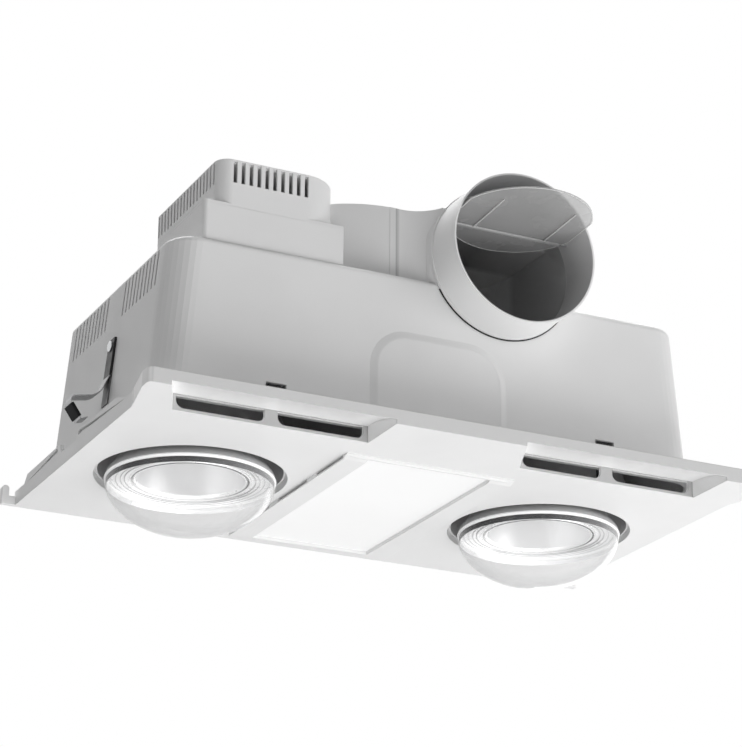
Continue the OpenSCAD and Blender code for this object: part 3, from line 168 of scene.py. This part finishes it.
# Materials
class Finish:
    """A procedural material built up a node at a time."""

    def __init__(self, name):
        self.material = bpy.data.materials.new(name)
        self.material.use_nodes = True
        self.tree = self.material.node_tree
        self.shader = self.tree.nodes["Principled BSDF"]
        self.place = self.tree.nodes.new("ShaderNodeTexCoord").outputs["Object"]

    def link(self, source, target):
        self.tree.links.new(source, target)

    def noise(self, scale, detail=4.0, rough=0.55, stretch=None):
        node = self.tree.nodes.new("ShaderNodeTexNoise")
        node.inputs["Scale"].default_value = scale
        node.inputs["Detail"].default_value = detail
        node.inputs["Roughness"].default_value = rough
        source = self.place
        if stretch:
            mapping = self.tree.nodes.new("ShaderNodeMapping")
            mapping.inputs["Scale"].default_value = stretch
            self.link(self.place, mapping.inputs["Vector"])
            source = mapping.outputs["Vector"]
        self.link(source, node.inputs["Vector"])
        return node.outputs["Fac"]

    def ramp(self, source, low, high, start=0.3, end=0.7):
        node = self.tree.nodes.new("ShaderNodeValToRGB")
        node.color_ramp.elements[0].position = start
        node.color_ramp.elements[1].position = end
        node.color_ramp.elements[0].color = low if len(low) == 4 else (*low, 1.0)
        node.color_ramp.elements[1].color = high if len(high) == 4 else (*high, 1.0)
        self.link(source, node.inputs["Fac"])
        return node.outputs["Color"]

    def spread(self, source, low, high, start=0.3, end=0.7):
        node = self.tree.nodes.new("ShaderNodeMapRange")
        node.inputs["From Min"].default_value = start
        node.inputs["From Max"].default_value = end
        node.inputs["To Min"].default_value = low
        node.inputs["To Max"].default_value = high
        self.link(source, node.inputs["Value"])
        return node.outputs["Result"]

    def colour(self, source):
        self.link(source, self.shader.inputs["Base Color"])

    def roughness(self, source):
        self.link(source, self.shader.inputs["Roughness"])

    def bump(self, source, depth, strength=1.0, normal=None):
        node = self.tree.nodes.new("ShaderNodeBump")
        node.inputs["Strength"].default_value = strength
        node.inputs["Distance"].default_value = depth
        self.link(source, node.inputs["Height"])
        if normal is not None:
            self.link(normal, node.inputs["Normal"])
        return node.outputs["Normal"]

    def along(self, axis):
        node = self.tree.nodes.new("ShaderNodeSeparateXYZ")
        self.link(self.place, node.inputs[0])
        return node.outputs[axis]

    def math(self, operation, *values):
        """A sum over sockets and plain numbers."""
        node = self.tree.nodes.new("ShaderNodeMath")
        node.operation = operation
        for socket, value in zip(node.inputs, values):
            if isinstance(value, float):
                socket.default_value = value
            else:
                self.link(value, socket)
        return node.outputs[0]

    def times(self, one, other):
        return self.math("MULTIPLY", one, other)

    def vector(self, operation, one, other=None):
        """A vector sum whose second term is a socket, a plain vector or nothing."""
        node = self.tree.nodes.new("ShaderNodeVectorMath")
        node.operation = operation
        self.link(one, node.inputs[0])
        if isinstance(other, tuple):
            node.inputs[1].default_value = other
        elif other is not None:
            self.link(other, node.inputs[1])
        return node.outputs["Value" if operation in ("LENGTH", "DOT_PRODUCT") else "Vector"]

    def blend(self, amount, plain, colour):
        node = self.tree.nodes.new("ShaderNodeMix")
        node.data_type = "RGBA"
        self.link(amount, node.inputs["Factor"])
        self.link(plain, node.inputs["A"])
        node.inputs["B"].default_value = (*colour, 1.0)
        return node.outputs["Result"]

    def edge(self, radius):
        node = self.tree.nodes.new("ShaderNodeBevel")
        node.samples = 4
        node.inputs["Radius"].default_value = radius
        return node.outputs["Normal"]

    def normal(self, source):
        self.link(source, self.shader.inputs["Normal"])

    def put(self, name, value):
        """Sets one of the shader's inputs to a plain value."""
        self.shader.inputs[name].default_value = value

    def glow(self, strength):
        """A white glow of a plain strength, or of one that a socket gives."""
        self.put("Emission Color", (1.0, 1.0, 1.0, 1.0))
        if isinstance(strength, float):
            self.put("Emission Strength", strength)
        else:
            self.link(strength, self.shader.inputs["Emission Strength"])


def painted_bore_shade(f, plain):
    """Paints shade into the duct's inside, whose faces look at its axis, and less so on the lit
    side.
    """
    away = f.vector("SUBTRACT", f.place, (DUCT_X * MM, 0.0, DUCT_Z * MM))
    across = f.vector("MULTIPLY", away, (1.0, 0.0, 1.0))
    reach = f.spread(f.vector("LENGTH", across), 1.0, 0.0,
                     (DUCT_BORE + 0.2) * MM, (DUCT_BORE + 0.7) * MM)
    sleeve = f.spread(f.along("Y"), 1.0, 0.0, (FRONT_Y - 1.5) * MM, (FRONT_Y - 0.5) * MM)
    normal = f.tree.nodes.new("ShaderNodeNewGeometry").outputs["Normal"]
    facing = f.spread(f.vector("DOT_PRODUCT", normal, across), 1.0, 0.0, -0.012, -0.002)
    neck = f.spread(f.along("Y"), 1.0, 0.0, NECK_END_Y * MM, (NECK_END_Y + 8.0) * MM)
    inside = f.math("MAXIMUM", f.times(reach, sleeve), f.times(facing, neck))
    depth = f.spread(f.along("Y"), 0.72, 1.0, MOUTH_Y * MM, (MOUTH_Y + 26.0) * MM)
    lit = f.spread(f.along("X"), 0.96, 0.3, (DUCT_X + 8.0) * MM, (DUCT_X + 54.0) * MM)
    # painted shade: a dark grey in the bore, deeper in and away from the lit side
    return f.blend(f.times(f.times(inside, depth), lit), plain, (0.24, 0.24, 0.245))


def between(f, axis, low, high, soft=0.4):
    """One between two positions along an axis, in millimetres, and nothing outside them."""
    place = f.along(axis)
    return f.times(f.spread(place, 0.0, 1.0, (low - soft) * MM, low * MM),
                   f.spread(place, 1.0, 0.0, high * MM, (high + soft) * MM))


def fascia_painted_light(f, plain):
    """Paints shade on the outer wall and the riser round the inlet slots, and a painted highlight
    on the scoops' ramp.
    """
    above = between(f, "Z", FACE_Z + 0.8, FACE_Z + SCOOP_H + 0.2)
    riser = f.times(between(f, "Y", RISER_Y - 0.3, RISER_Y + 0.3), above)
    ramp = f.times(between(f, "Y", NEAR_Y + 0.9, RISER_Y - 0.9), above)
    wall = between(f, "Y", NEAR_Y - 1.0, NEAR_Y + 0.2)
    # painted highlight on the ramp, painted shade on the outer wall and on the riser
    paint = f.blend(ramp, plain, (0.985, 0.985, 0.985))
    paint = f.blend(wall, paint, (0.7, 0.7, 0.7))
    return f.blend(riser, paint, (0.47, 0.47, 0.47))


def moulded(name, colour, rough, grain=0.00004, edge=0.0006, drift=0.03, coat=0.0, gloss=0.4,
            painted_light=None):
    """Moulded plastic: a fine spark grain, faint flow marks, softened edges and any painted light
    and shade.
    """
    f = Finish(name)
    flow = f.noise(9.0, 3.0)
    low = tuple(c * (1.0 - drift) for c in colour)
    high = tuple(min(c * (1.0 + drift), 1.0) for c in colour)
    plain = f.ramp(flow, low, high)
    # painted light and shade, when a function for it is given, go into the colour here
    f.colour(painted_light(f, plain) if painted_light else plain)
    f.roughness(f.spread(f.noise(60.0, 3.0), rough - 0.05, rough + 0.06))
    fine = f.noise(1400.0, 2.0)
    f.normal(f.bump(fine, grain, 0.35, f.edge(edge)))
    f.put("Specular IOR Level", gloss)
    f.put("Coat Weight", coat)
    f.put("Coat Roughness", 0.15)
    return f.material


def plated(name, colour, rough, stretch=(1.0, 1.0, 12.0), edge=0.0003):
    """Plated or drawn metal with fine lines along one way and faint mottling."""
    f = Finish(name)
    lines = f.noise(420.0, 4.0, 0.6, stretch)
    cloud = f.noise(45.0, 3.0)
    low = tuple(c * 0.86 for c in colour)
    f.colour(f.ramp(cloud, low, colour))
    f.roughness(f.spread(lines, rough - 0.08, rough + 0.1))
    f.normal(f.bump(lines, 0.00002, 0.4, f.edge(edge)))
    f.put("Metallic", 1.0)
    return f.material


# the white moulding carries the fascia's painted shade and highlight
white_moulding = moulded("white_moulding", (0.9, 0.9, 0.9), 0.34, edge=0.0008, painted_light=fascia_painted_light)
grey_moulding = moulded("grey_moulding", (0.86, 0.86, 0.86), 0.46)
# the pale moulding carries the painted shade of the duct's bore
pale_moulding = moulded("pale_moulding", (0.87, 0.87, 0.87), 0.42, painted_light=painted_bore_shade)
black_moulding = moulded("black_moulding", (0.035, 0.035, 0.037), 0.5)
dark_moulding = moulded("dark_moulding", (0.09, 0.09, 0.095), 0.45)
block_moulding = moulded("block_moulding", (0.83, 0.83, 0.8), 0.35)
ceramic = moulded("ceramic", (0.82, 0.8, 0.74), 0.25, coat=0.4)
shroud_grey = moulded("shroud_grey", (0.84, 0.84, 0.84), 0.42)
white_metal = moulded("white_metal", (0.85, 0.85, 0.85), 0.3)
board_white = moulded("board_white", (0.8, 0.82, 0.8), 0.4)
zinc_steel = plated("zinc_steel", (0.62, 0.63, 0.64), 0.32)
spring_steel = plated("spring_steel", (0.34, 0.34, 0.345), 0.3)
steel_wire = plated("steel_wire", (0.6, 0.6, 0.61), 0.22)
rotor_steel = plated("rotor_steel", (0.3, 0.31, 0.32), 0.4, (1.0, 1.0, 40.0))
bronze = plated("bronze", (0.52, 0.36, 0.2), 0.4)
brass = plated("brass", (0.7, 0.56, 0.3), 0.3)
copper_winding = plated("copper_winding", (0.6, 0.3, 0.15), 0.35, (1.0, 1.0, 60.0))
rubber = moulded("rubber", (0.012, 0.012, 0.013), 0.7, 0.00008, gloss=0.12)
# painted shadow: the black of the ring at the spigot's root
shadow_black = moulded("shadow_black", (0.03, 0.03, 0.03), 0.8, 0.0001, gloss=0.1)
# painted highlight: the white of the flap's rim and rib beads
highlight_white = moulded("highlight_white", (0.82, 0.82, 0.82), 0.3)


def strap_steel():
    """The clip's bracket: blackened steel, paler at its lower end as a painted reflection."""
    f = Finish("strap_steel")
    # painted reflection: the bracket is painted paler below the clip's root
    low = f.spread(f.along("Z"), 0.0, 1.0, (CLIP_ROOT_Z - 3.0) * MM, (CLIP_ROOT_Z + 1.0) * MM)
    f.colour(f.ramp(low, (0.16, 0.16, 0.165), (0.015, 0.015, 0.016), 0.0, 1.0))
    f.roughness(f.spread(f.noise(120.0, 3.0), 0.3, 0.5))
    f.put("Specular IOR Level", 0.25)
    f.normal(f.edge(0.0003))
    return f.material


def opal():
    """The light's diffuser: an even white that glows."""
    f = Finish("opal")
    f.colour(f.ramp(f.noise(30.0, 2.0), (0.93, 0.93, 0.93), (0.97, 0.97, 0.97)))
    f.roughness(f.spread(f.noise(200.0, 2.0), 0.3, 0.4))
    f.glow(0.12)
    return f.material


def clear_glass():
    """Thin blown glass, nearly invisible face on and grey where it is seen edge on."""
    f = Finish("clear_glass")
    f.roughness(f.spread(f.noise(60.0, 3.0), 0.02, 0.05))
    f.put("Base Color", (0.74, 0.74, 0.745, 1.0))
    facing = f.tree.nodes.new("ShaderNodeLayerWeight")
    facing.inputs["Blend"].default_value = 0.35
    f.link(f.spread(facing.outputs["Facing"], 0.06, 0.62, 0.25, 0.97), f.shader.inputs["Alpha"])
    f.put("Specular IOR Level", 0.8)
    return f.material


def silvered():
    """The bright inside coat of the lamp's back, softly uneven."""
    f = Finish("silvered")
    f.colour(f.ramp(f.noise(22.0, 3.0), (0.93, 0.93, 0.935), (0.98, 0.98, 0.98)))
    f.roughness(f.spread(f.noise(30.0, 3.0), 0.22, 0.32))
    f.put("Metallic", 1.0)
    return f.material


def frosted_silver():
    """The dish inside the lamp, a softer and greyer silver."""
    f = Finish("frosted_silver")
    f.colour(f.ramp(f.noise(16.0, 2.0), (0.8, 0.8, 0.805), (0.96, 0.96, 0.96), 0.25, 0.75))
    f.roughness(f.spread(f.noise(30.0, 3.0), 0.38, 0.5))
    f.put("Metallic", 1.0)
    return f.material


def back_coat():
    """The lacquered outside of the lamp's back."""
    f = Finish("back_coat")
    f.colour(f.ramp(f.noise(30.0, 3.0), (0.55, 0.55, 0.555), (0.62, 0.62, 0.625)))
    f.roughness(f.spread(f.noise(60.0, 3.0), 0.4, 0.55))
    return f.material


def ring_glass():
    """The thick milky edge where bowl and back are fused, which glows as a painted highlight."""
    f = Finish("ring_glass")
    f.colour(f.ramp(f.noise(40.0, 2.0), (0.95, 0.95, 0.95), (0.98, 0.98, 0.98)))
    f.roughness(f.spread(f.noise(90.0, 2.0), 0.1, 0.18))
    f.put("Coat Weight", 0.6)
    # painted highlight: a glow that makes the edge gleam white
    f.glow(0.26)
    return f.material


def bright_shoulder():
    """The mirrored flat ring round the dish, with a glow on the far side as a painted reflection.
    """
    f = Finish("bright_shoulder")
    f.colour(f.ramp(f.noise(22.0, 3.0), (0.88, 0.88, 0.885), (0.97, 0.97, 0.97)))
    f.roughness(f.spread(f.noise(30.0, 3.0), 0.22, 0.32))
    f.put("Metallic", 0.6)
    # painted reflection: a glow that grows towards the far side
    f.glow(f.spread(f.along("Y"), 0.0, 0.46, (LAMP_Y + 14.0) * MM, (LAMP_Y + 46.0) * MM))
    return f.material


def rim_line():
    """The groove round the dish, with painted shade on the near side and painted light on the far
    one.
    """
    f = Finish("rim_line")
    # painted shade on the near side, painted light on the far side
    far = f.spread(f.along("Y"), 0.0, 1.0, (LAMP_Y - 12.0) * MM, (LAMP_Y + 26.0) * MM)
    f.colour(f.ramp(far, (0.04, 0.04, 0.045), (0.8, 0.8, 0.8), 0.0, 1.0))
    f.roughness(f.spread(f.noise(60.0, 2.0), 0.3, 0.4))
    return f.material


def painted_reflection_band():
    """The painted dark reflection on the outside of the coat's strip, darkest to the left of each
    lamp's middle.
    """
    f = Finish("painted_reflection_band")
    # painted reflection: a near-black that pales across each lamp from left to right
    from_lamp = f.math("WRAP", f.math("ADD", f.along("X"), LAMP_X * MM), LAMP_X * MM, -LAMP_X * MM)
    across = f.spread(from_lamp, 0.0, 1.0, -0.026, 0.034)
    f.colour(f.ramp(across, (0.006, 0.006, 0.008), (0.2, 0.2, 0.205), 0.0, 1.0))
    f.roughness(f.spread(f.noise(60.0, 2.0), 0.3, 0.4))
    f.put("Specular IOR Level", 0.2)
    return f.material


def clear_film():
    """The flap's thin clear sheet, a little milky."""
    f = Finish("clear_film")
    f.colour(f.ramp(f.noise(12.0, 2.0), (0.51, 0.51, 0.51), (0.54, 0.54, 0.54)))
    f.roughness(f.spread(f.noise(40.0, 2.0), 0.2, 0.3))
    f.put("Alpha", 0.48)
    return f.material


opal_white = opal()
lamp_glass = clear_glass()
lamp_silver = silvered()
lamp_frosted = frosted_silver()
lamp_back = back_coat()
lamp_ring_glass = ring_glass()
lamp_painted_reflection = painted_reflection_band()
lamp_bright_shoulder = bright_shoulder()
lamp_rim_line = rim_line()
clip_strap = strap_steel()
flap_film = clear_film()

NODE_FINISH = {
    "fascia_panel": white_moulding, "centre_module": white_moulding, "led_diffuser": opal_white,
    "led_tray": white_metal, "led_board": board_white, "led_driver": block_moulding,
    "module_screws": zinc_steel, "lamp_glass_left": lamp_glass, "lamp_glass_right": lamp_glass,
    "lamp_cap_left": brass, "lamp_cap_right": brass, "lamp_filament_left": steel_wire,
    "lamp_filament_right": steel_wire, "lamp_shroud_left": shroud_grey,
    "lamp_shroud_right": shroud_grey, "lampholder_left": ceramic, "lampholder_right": ceramic,
    "lamp_bracket_left": zinc_steel, "lamp_bracket_right": zinc_steel, "housing": grey_moulding,
    "fascia_latches": black_moulding, "fan_scroll": pale_moulding, "inlet_plate": pale_moulding,
    "scroll_screws": zinc_steel, "flap": flap_film, "flap_axle": steel_wire,
    "fan_wheel": dark_moulding, "wheel_nut": zinc_steel, "motor_shaft": steel_wire,
    "motor_rotor": rotor_steel, "motor_can": zinc_steel, "motor_stator": copper_winding,
    "motor_bearings": bronze, "motor_bracket": zinc_steel, "terminal_base": grey_moulding,
    "terminal_cover": grey_moulding, "terminal_block": block_moulding, "terminal_screws": brass,
    "cover_screws": zinc_steel, "run_capacitor": block_moulding, "cable_gland": black_moulding,
    "clip_bracket_left": clip_strap, "clip_bracket_right": clip_strap,
    "clip_leaf_left": spring_steel, "clip_leaf_right": spring_steel, "clip_foot_left": rubber,
    "clip_foot_right": rubber, "clip_screws": zinc_steel,
}


def dress_nodes():
    """Gives every solid its finish."""
    for name, finish in NODE_FINISH.items():
        mesh = nodes[name].data
        mesh.materials.clear()
        mesh.materials.append(finish)


dress_nodes()


# Lamps
def ellipse_side(radius, depth, centre_z, steps):
    """The bowl's profile from its lowest point out to its widest ring."""
    return [(radius * math.sin(a), centre_z - depth * math.cos(a))
            for a in (math.pi / 2 * i / steps for i in range(steps + 1))]


def turned_mesh(name, profile, centre, sides, finish, closed=True):
    """A profile of (radius, height) points in millimetres, turned about an upright axis."""
    bm = bmesh.new()
    rings = []
    for r, z in profile:
        if r < 0.01:
            rings.append([bm.verts.new((centre[0] * MM, centre[1] * MM, z * MM))])
        else:
            rings.append([bm.verts.new(((centre[0] + r * math.cos(2 * math.pi * k / sides)) * MM,
                                        (centre[1] + r * math.sin(2 * math.pi * k / sides)) * MM,
                                        z * MM)) for k in range(sides)])
    pairs = list(zip(rings, rings[1:] + rings[:1])) if closed else list(zip(rings, rings[1:]))
    for low, high in pairs:
        if len(low) == 1 and len(high) == 1:
            continue
        for k in range(sides):
            j = (k + 1) % sides
            if len(low) == 1:
                bm.faces.new((low[0], high[j], high[k]))
            elif len(high) == 1:
                bm.faces.new((low[k], low[j], high[0]))
            else:
                bm.faces.new((low[k], low[j], high[j], high[k]))
    bmesh.ops.recalc_face_normals(bm, faces=bm.faces)
    mesh = bpy.data.meshes.new(name)
    bm.to_mesh(mesh)
    bm.free()
    for polygon in mesh.polygons:
        polygon.use_smooth = True
    mesh.set_sharp_from_angle(angle=math.radians(40.0))
    mesh.materials.append(finish)
    piece = bpy.data.objects.new(name, mesh)
    bpy.context.scene.collection.objects.link(piece)
    return piece


def shell_of(outline, thick):
    """A closed skin under an outline that runs from the axis outward."""
    under = [(max(r - thick * r / LAMP_R, 0.0), z + thick * (1.0 - r / LAMP_R)) for r, z in outline]
    return outline + under[::-1]


def circle_points(r, z, radius, steps):
    """A small round section, for a ring."""
    return [(r + radius * math.cos(a), z + radius * math.sin(a))
            for a in (2 * math.pi * i / steps for i in range(steps))]


def skirt_profile():
    """The strip of coat that runs a little way down the bowl's inside."""
    inset, thick = 1.1, 0.25
    face = [(bowl_r(drop) - inset, RING_Z - drop) for drop in (5.2, 4.2, 3.2, 2.2, 1.2)]
    return face + [(r - thick, z) for r, z in face[::-1]]


def bowl_r(drop):
    """Radius of the bowl at a drop below its widest ring."""
    return LAMP_R * math.sqrt(1.0 - (drop / BOWL_DEPTH) ** 2)


def back_profile():
    """The outside of the solid's back, a closed skin."""
    roll, room, skin = 9.0, 0.03, 0.35
    outer = [(LAMP_R - 9.3 + 8.95 * math.cos(a), RING_Z + 0.6 + roll * math.sin(a))
             for a in (0.0, 0.15, 0.30, 0.45, 0.60, 0.75, 0.9)]
    start_r, start_z = outer[-1]
    outer += [(NECK_R + (start_r - NECK_R) * (1.0 - t) ** 1.35 - room,
               start_z + t * (NECK_Z - start_z)) for t in (i / 18 for i in range(1, 19))]
    outer += [(NECK_R - room, LAMP_TOP_Z - 8.0), (13.1, LAMP_TOP_Z - 0.05)]
    return outer + [(r - skin, z - 0.02) for r, z in outer[::-1]]


def shoulder_profile():
    """The bright flat ring round the dish, with two ridges at its inner edge, a closed skin."""
    face = [(60.9, RING_Z + 0.4), (59.0, RING_Z + 0.2), (56.5, RING_Z + 0.1), (53.0, RING_Z + 0.3),
            (49.5, RING_Z + 0.6), (46.2, RING_Z + 0.7)]
    for centre_r, centre_z, radius in ((43.9, RING_Z + 0.7, 0.9), (41.2, RING_Z + 0.9, 0.9)):
        face += [(centre_r + radius * math.cos(a), centre_z - radius * math.sin(a))
                 for a in (math.pi * i / 6 for i in range(7))]
    return face + [(39.9, RING_Z + 2.6), (60.9, RING_Z + 2.2)]


def dish_profile():
    """The frosted dish between its rim and the neck, a closed skin."""
    start_z, end_z = RING_Z + 1.6, NECK_Z - 6.0
    face = [(NECK_R - 1.2 + 22.4 * (1.0 - t) ** 0.6, start_z + t * (end_z - start_z))
            for t in (i / 24 for i in range(25))]
    return face + [(r + 0.3, z + 0.1) for r, z in face[::-1]]


def paint_by_side(piece, inner, outer, centre):
    """Gives the faces that look at the lamp's axis one finish and the others another."""
    mesh = piece.data
    mesh.materials.clear()
    mesh.materials.append(inner)
    mesh.materials.append(outer)
    axis = Vector((centre[0] * MM, centre[1] * MM, 0.0))
    for polygon in mesh.polygons:
        away = polygon.center - axis
        away.z = 0.0
        polygon.material_index = 1 if polygon.normal.dot(away.normalized()) > 0.6 else 0


def make_lamps():
    """Each lamp's parts, which take the place of the plain solid."""
    for side, sign in (("left", -1.0), ("right", 1.0)):
        centre = (sign * LAMP_X, LAMP_Y)
        bowl = shell_of(ellipse_side(LAMP_R, BOWL_DEPTH, RING_Z, 32), 0.9)
        edge = circle_points(LAMP_R - 1.2, RING_Z + 0.3, 1.4, 16)
        skirt = turned_mesh("lamp_skirt_" + side, skirt_profile(), centre, LAMP_SIDES,
                            lamp_painted_reflection)
        # the skirt's outer faces take the painted dark reflection, its inner faces the silver
        paint_by_side(skirt, lamp_silver, lamp_painted_reflection, centre)
        pieces = (
            skirt,
            turned_mesh("lamp_bowl_" + side, bowl, centre, LAMP_SIDES, lamp_glass),
            turned_mesh("lamp_ring_" + side, edge, centre, LAMP_SIDES, lamp_ring_glass),
            turned_mesh("lamp_back_" + side, back_profile(), centre, LAMP_SIDES, lamp_back),
            turned_mesh("lamp_shoulder_" + side, shoulder_profile(), centre, LAMP_SIDES,
                        lamp_bright_shoulder),
            turned_mesh("lamp_dish_" + side, dish_profile(), centre, LAMP_SIDES, lamp_frosted))
        for piece in pieces:
            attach(piece, "unit")
            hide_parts("lamp_glass_" + side)


make_lamps()


# Beads and ribs that follow a path
def bead_tree():
    """Sweeps a round section along every edge path of the mesh that it is given."""
    tree = bpy.data.node_groups.new("bead_along_path", "GeometryNodeTree")
    tree.interface.new_socket("Paths", in_out="INPUT", socket_type="NodeSocketGeometry")
    for name, kind in (("Bead radius", "NodeSocketFloat"), ("Bead sides", "NodeSocketInt"),
                       ("Finish", "NodeSocketMaterial")):
        tree.interface.new_socket(name, in_out="INPUT", socket_type=kind)
    tree.interface.new_socket("Beads", in_out="OUTPUT", socket_type="NodeSocketGeometry")
    given = tree.nodes.new("NodeGroupInput")
    result = tree.nodes.new("NodeGroupOutput")
    path = tree.nodes.new("GeometryNodeMeshToCurve")
    section = tree.nodes.new("GeometryNodeCurvePrimitiveCircle")
    sweep = tree.nodes.new("GeometryNodeCurveToMesh")
    sweep.inputs["Fill Caps"].default_value = True
    real = tree.nodes.new("GeometryNodeRealizeInstances")
    paint = tree.nodes.new("GeometryNodeSetMaterial")
    tree.links.new(given.outputs["Paths"], path.inputs["Mesh"])
    tree.links.new(given.outputs["Bead radius"], section.inputs["Radius"])
    tree.links.new(given.outputs["Bead sides"], section.inputs["Resolution"])
    tree.links.new(path.outputs["Curve"], sweep.inputs["Curve"])
    tree.links.new(section.outputs["Curve"], sweep.inputs["Profile Curve"])
    tree.links.new(sweep.outputs["Mesh"], real.inputs["Geometry"])
    tree.links.new(real.outputs["Geometry"], paint.inputs["Geometry"])
    tree.links.new(given.outputs["Finish"], paint.inputs["Material"])
    tree.links.new(paint.outputs["Geometry"], result.inputs["Beads"])
    return tree


bead_maker = bead_tree()


def beads(name, paths, radius, finish, sides=10):
    """Round beads along paths, each a list of points in millimetres and whether it closes."""
    points, edges = [], []
    for path, closed in paths:
        start = len(points)
        points += [tuple(c * MM for c in point) for point in path]
        edges += [(start + i, start + i + 1) for i in range(len(path) - 1)]
        if closed:
            edges.append((start + len(path) - 1, start))
    route = bpy.data.meshes.new(name + "_route")
    route.from_pydata(points, edges, [])
    holder = bpy.data.objects.new(name + "_route", route)
    bpy.context.scene.collection.objects.link(holder)
    modifier = holder.modifiers.new("beads", "NODES")
    modifier.node_group = bead_maker
    sockets = {item.name: item.identifier for item in bead_maker.interface.items_tree
               if item.in_out == "INPUT"}
    modifier[sockets["Bead radius"]] = radius * MM
    modifier[sockets["Bead sides"]] = sides
    modifier[sockets["Finish"]] = finish
    bpy.context.view_layer.update()
    seen = holder.evaluated_get(bpy.context.evaluated_depsgraph_get())
    mesh = bpy.data.meshes.new_from_object(seen)
    mesh.name = name
    holder.modifiers.clear()
    bpy.data.objects.remove(holder)
    bpy.data.meshes.remove(route)
    for polygon in mesh.polygons:
        polygon.use_smooth = True
    piece = bpy.data.objects.new(name, mesh)
    bpy.context.scene.collection.objects.link(piece)
    return piece


def level_circle(centre, r, z, steps=120):
    """A closed level circle round an upright axis."""
    return [(centre[0] + r * math.cos(a), centre[1] + r * math.sin(a), z)
            for a in (2 * math.pi * i / steps for i in range(steps))], True


def ring_the_lamps():
    """The fine pressed rings on each lamp's shoulder and the line at its dish, painted dark on the
    near side and pale on the far side as painted shade and light.
    """
    for side, sign in (("left", -1.0), ("right", 1.0)):
        centre = (sign * LAMP_X, LAMP_Y)
        circles = [level_circle(centre, r, RING_Z + 0.25) for r in PRESSED_RINGS]
        rings = beads("lamp_rings_" + side, circles, 0.35, lamp_back)
        groove = [level_circle(centre, DISH_LINE_R, RING_Z + 0.1)]
        line = beads("lamp_line_" + side, groove, 0.4, lamp_rim_line)
        for piece in (rings, line):
            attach(piece, "unit")


ring_the_lamps()


# Flap: white beads on the welded rim and the two ribs, painted highlights where they catch the
# light
def flap_point(x, y, z=0.0):
    """A point of the open flap's own plane, in the unit's frame."""
    tilt = math.radians(-FLAP_TILT)
    return (DUCT_X + x, AXLE_Y + y * math.cos(tilt) - z * math.sin(tilt),
            AXLE_Z + y * math.sin(tilt) + z * math.cos(tilt))


def trim_flap():
    """The white bead round the flap's edge and the two on its ribs, painted highlights."""
    inset, steps = 0.4, 140
    side = FLAP_SIDE - inset
    outline = []
    for a in (2 * math.pi * i / steps for i in range(steps)):
        x, y = (FLAP_R - inset) * math.cos(a), (FLAP_R - inset) * math.sin(a) - FLAP_UP
        outline.append(flap_point(max(min(x, side), -side), y, -0.3))
    rim = beads("flap_rim", [(outline, True)], 0.42, highlight_white, 8)
    near, far = -0.72 * FLAP_R - FLAP_UP / 2, -3.0
    routes = [([flap_point(x, far, RIB_DROP), flap_point(x, near, RIB_DROP)], False) for x in RIB_X]
    ribs = beads("flap_ribs", routes, 0.5, highlight_white, 8)
    for piece in (rim, ribs):
        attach(piece, "flap_body")


trim_flap()


# Housing: the soft edge of the arch on its front
def arch_route():
    """Points of the arch's outline with the way outward at each, from one foot to the other."""
    half = ARCH_W / 2
    route = [(-half, 1.0, -1.0, 0.0), (-half, (ARCH_H - ARCH_R) / 2, -1.0, 0.0)]
    for i in range(13):
        a = math.pi - math.pi / 2 * i / 12
        route.append((-half + ARCH_R + ARCH_R * math.cos(a), ARCH_H - ARCH_R + ARCH_R * math.sin(a),
                      math.cos(a), math.sin(a)))
    return route + [(-x, z, -out_x, out_z) for x, z, out_x, out_z in route[::-1]]


def soften_arch():
    """A flat curve from the arch's face down to the wall, swept along its outline."""
    section = [(-0.3, -ARCH_T - 0.02), (0.7, -ARCH_T + 0.08), (1.8, -ARCH_T + 0.4), (3.0, -0.72),
               (4.2, -0.3), (5.6, -0.02), (5.6, 0.4), (-0.3, 0.4)]
    bm = bmesh.new()
    rings = []
    for x, z, out_x, out_z in arch_route():
        rings.append([bm.verts.new(((x + out_x * out) * MM, (FRONT_Y + up) * MM,
                                    (z + out_z * out) * MM)) for out, up in section])
    count = len(section)
    for low, high in zip(rings, rings[1:]):
        for k in range(count):
            bm.faces.new((low[k], low[(k + 1) % count], high[(k + 1) % count], high[k]))
    bm.faces.new(rings[0])
    bm.faces.new(rings[-1][::-1])
    bmesh.ops.recalc_face_normals(bm, faces=bm.faces)
    mesh = bpy.data.meshes.new("arch_edge")
    bm.to_mesh(mesh)
    bm.free()
    for polygon in mesh.polygons:
        polygon.use_smooth = True
    mesh.set_sharp_from_angle(angle=math.radians(50.0))
    mesh.materials.append(grey_moulding)
    piece = bpy.data.objects.new("arch_edge", mesh)
    bpy.context.scene.collection.objects.link(piece)
    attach(piece, "unit")


soften_arch()


# Spigot: a dark ring behind its shoulder, a painted shadow in the gap at its root
def shadow_spigot_root():
    """The part of a ring round the spigot's root that lies in front of the housing."""
    steps = 160
    ring = [(DUCT_X + ROOT_SHADOW_R * math.cos(a), FRONT_Y - 0.5, DUCT_Z + ROOT_SHADOW_R * math.sin(a))
            for a in (2 * math.pi * i / steps for i in range(steps))]
    path = [point for point in ring if point[2] < BODY_H - 5.0]
    breaks = [i for i in range(len(path) - 1) if math.dist(path[i], path[i + 1]) > 10.0]
    if breaks:
        path = path[breaks[0] + 1:] + path[:breaks[0] + 1]
    # painted shadow: a near-black bead where the spigot's root meets the housing
    root_shadow = beads("spigot_root_shadow", [(path, False)], ROOT_SHADOW_BEAD, shadow_black, 10)
    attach(root_shadow, "unit")


shadow_spigot_root()

scene = bpy.context.scene
scene.view_settings.view_transform = "Standard"
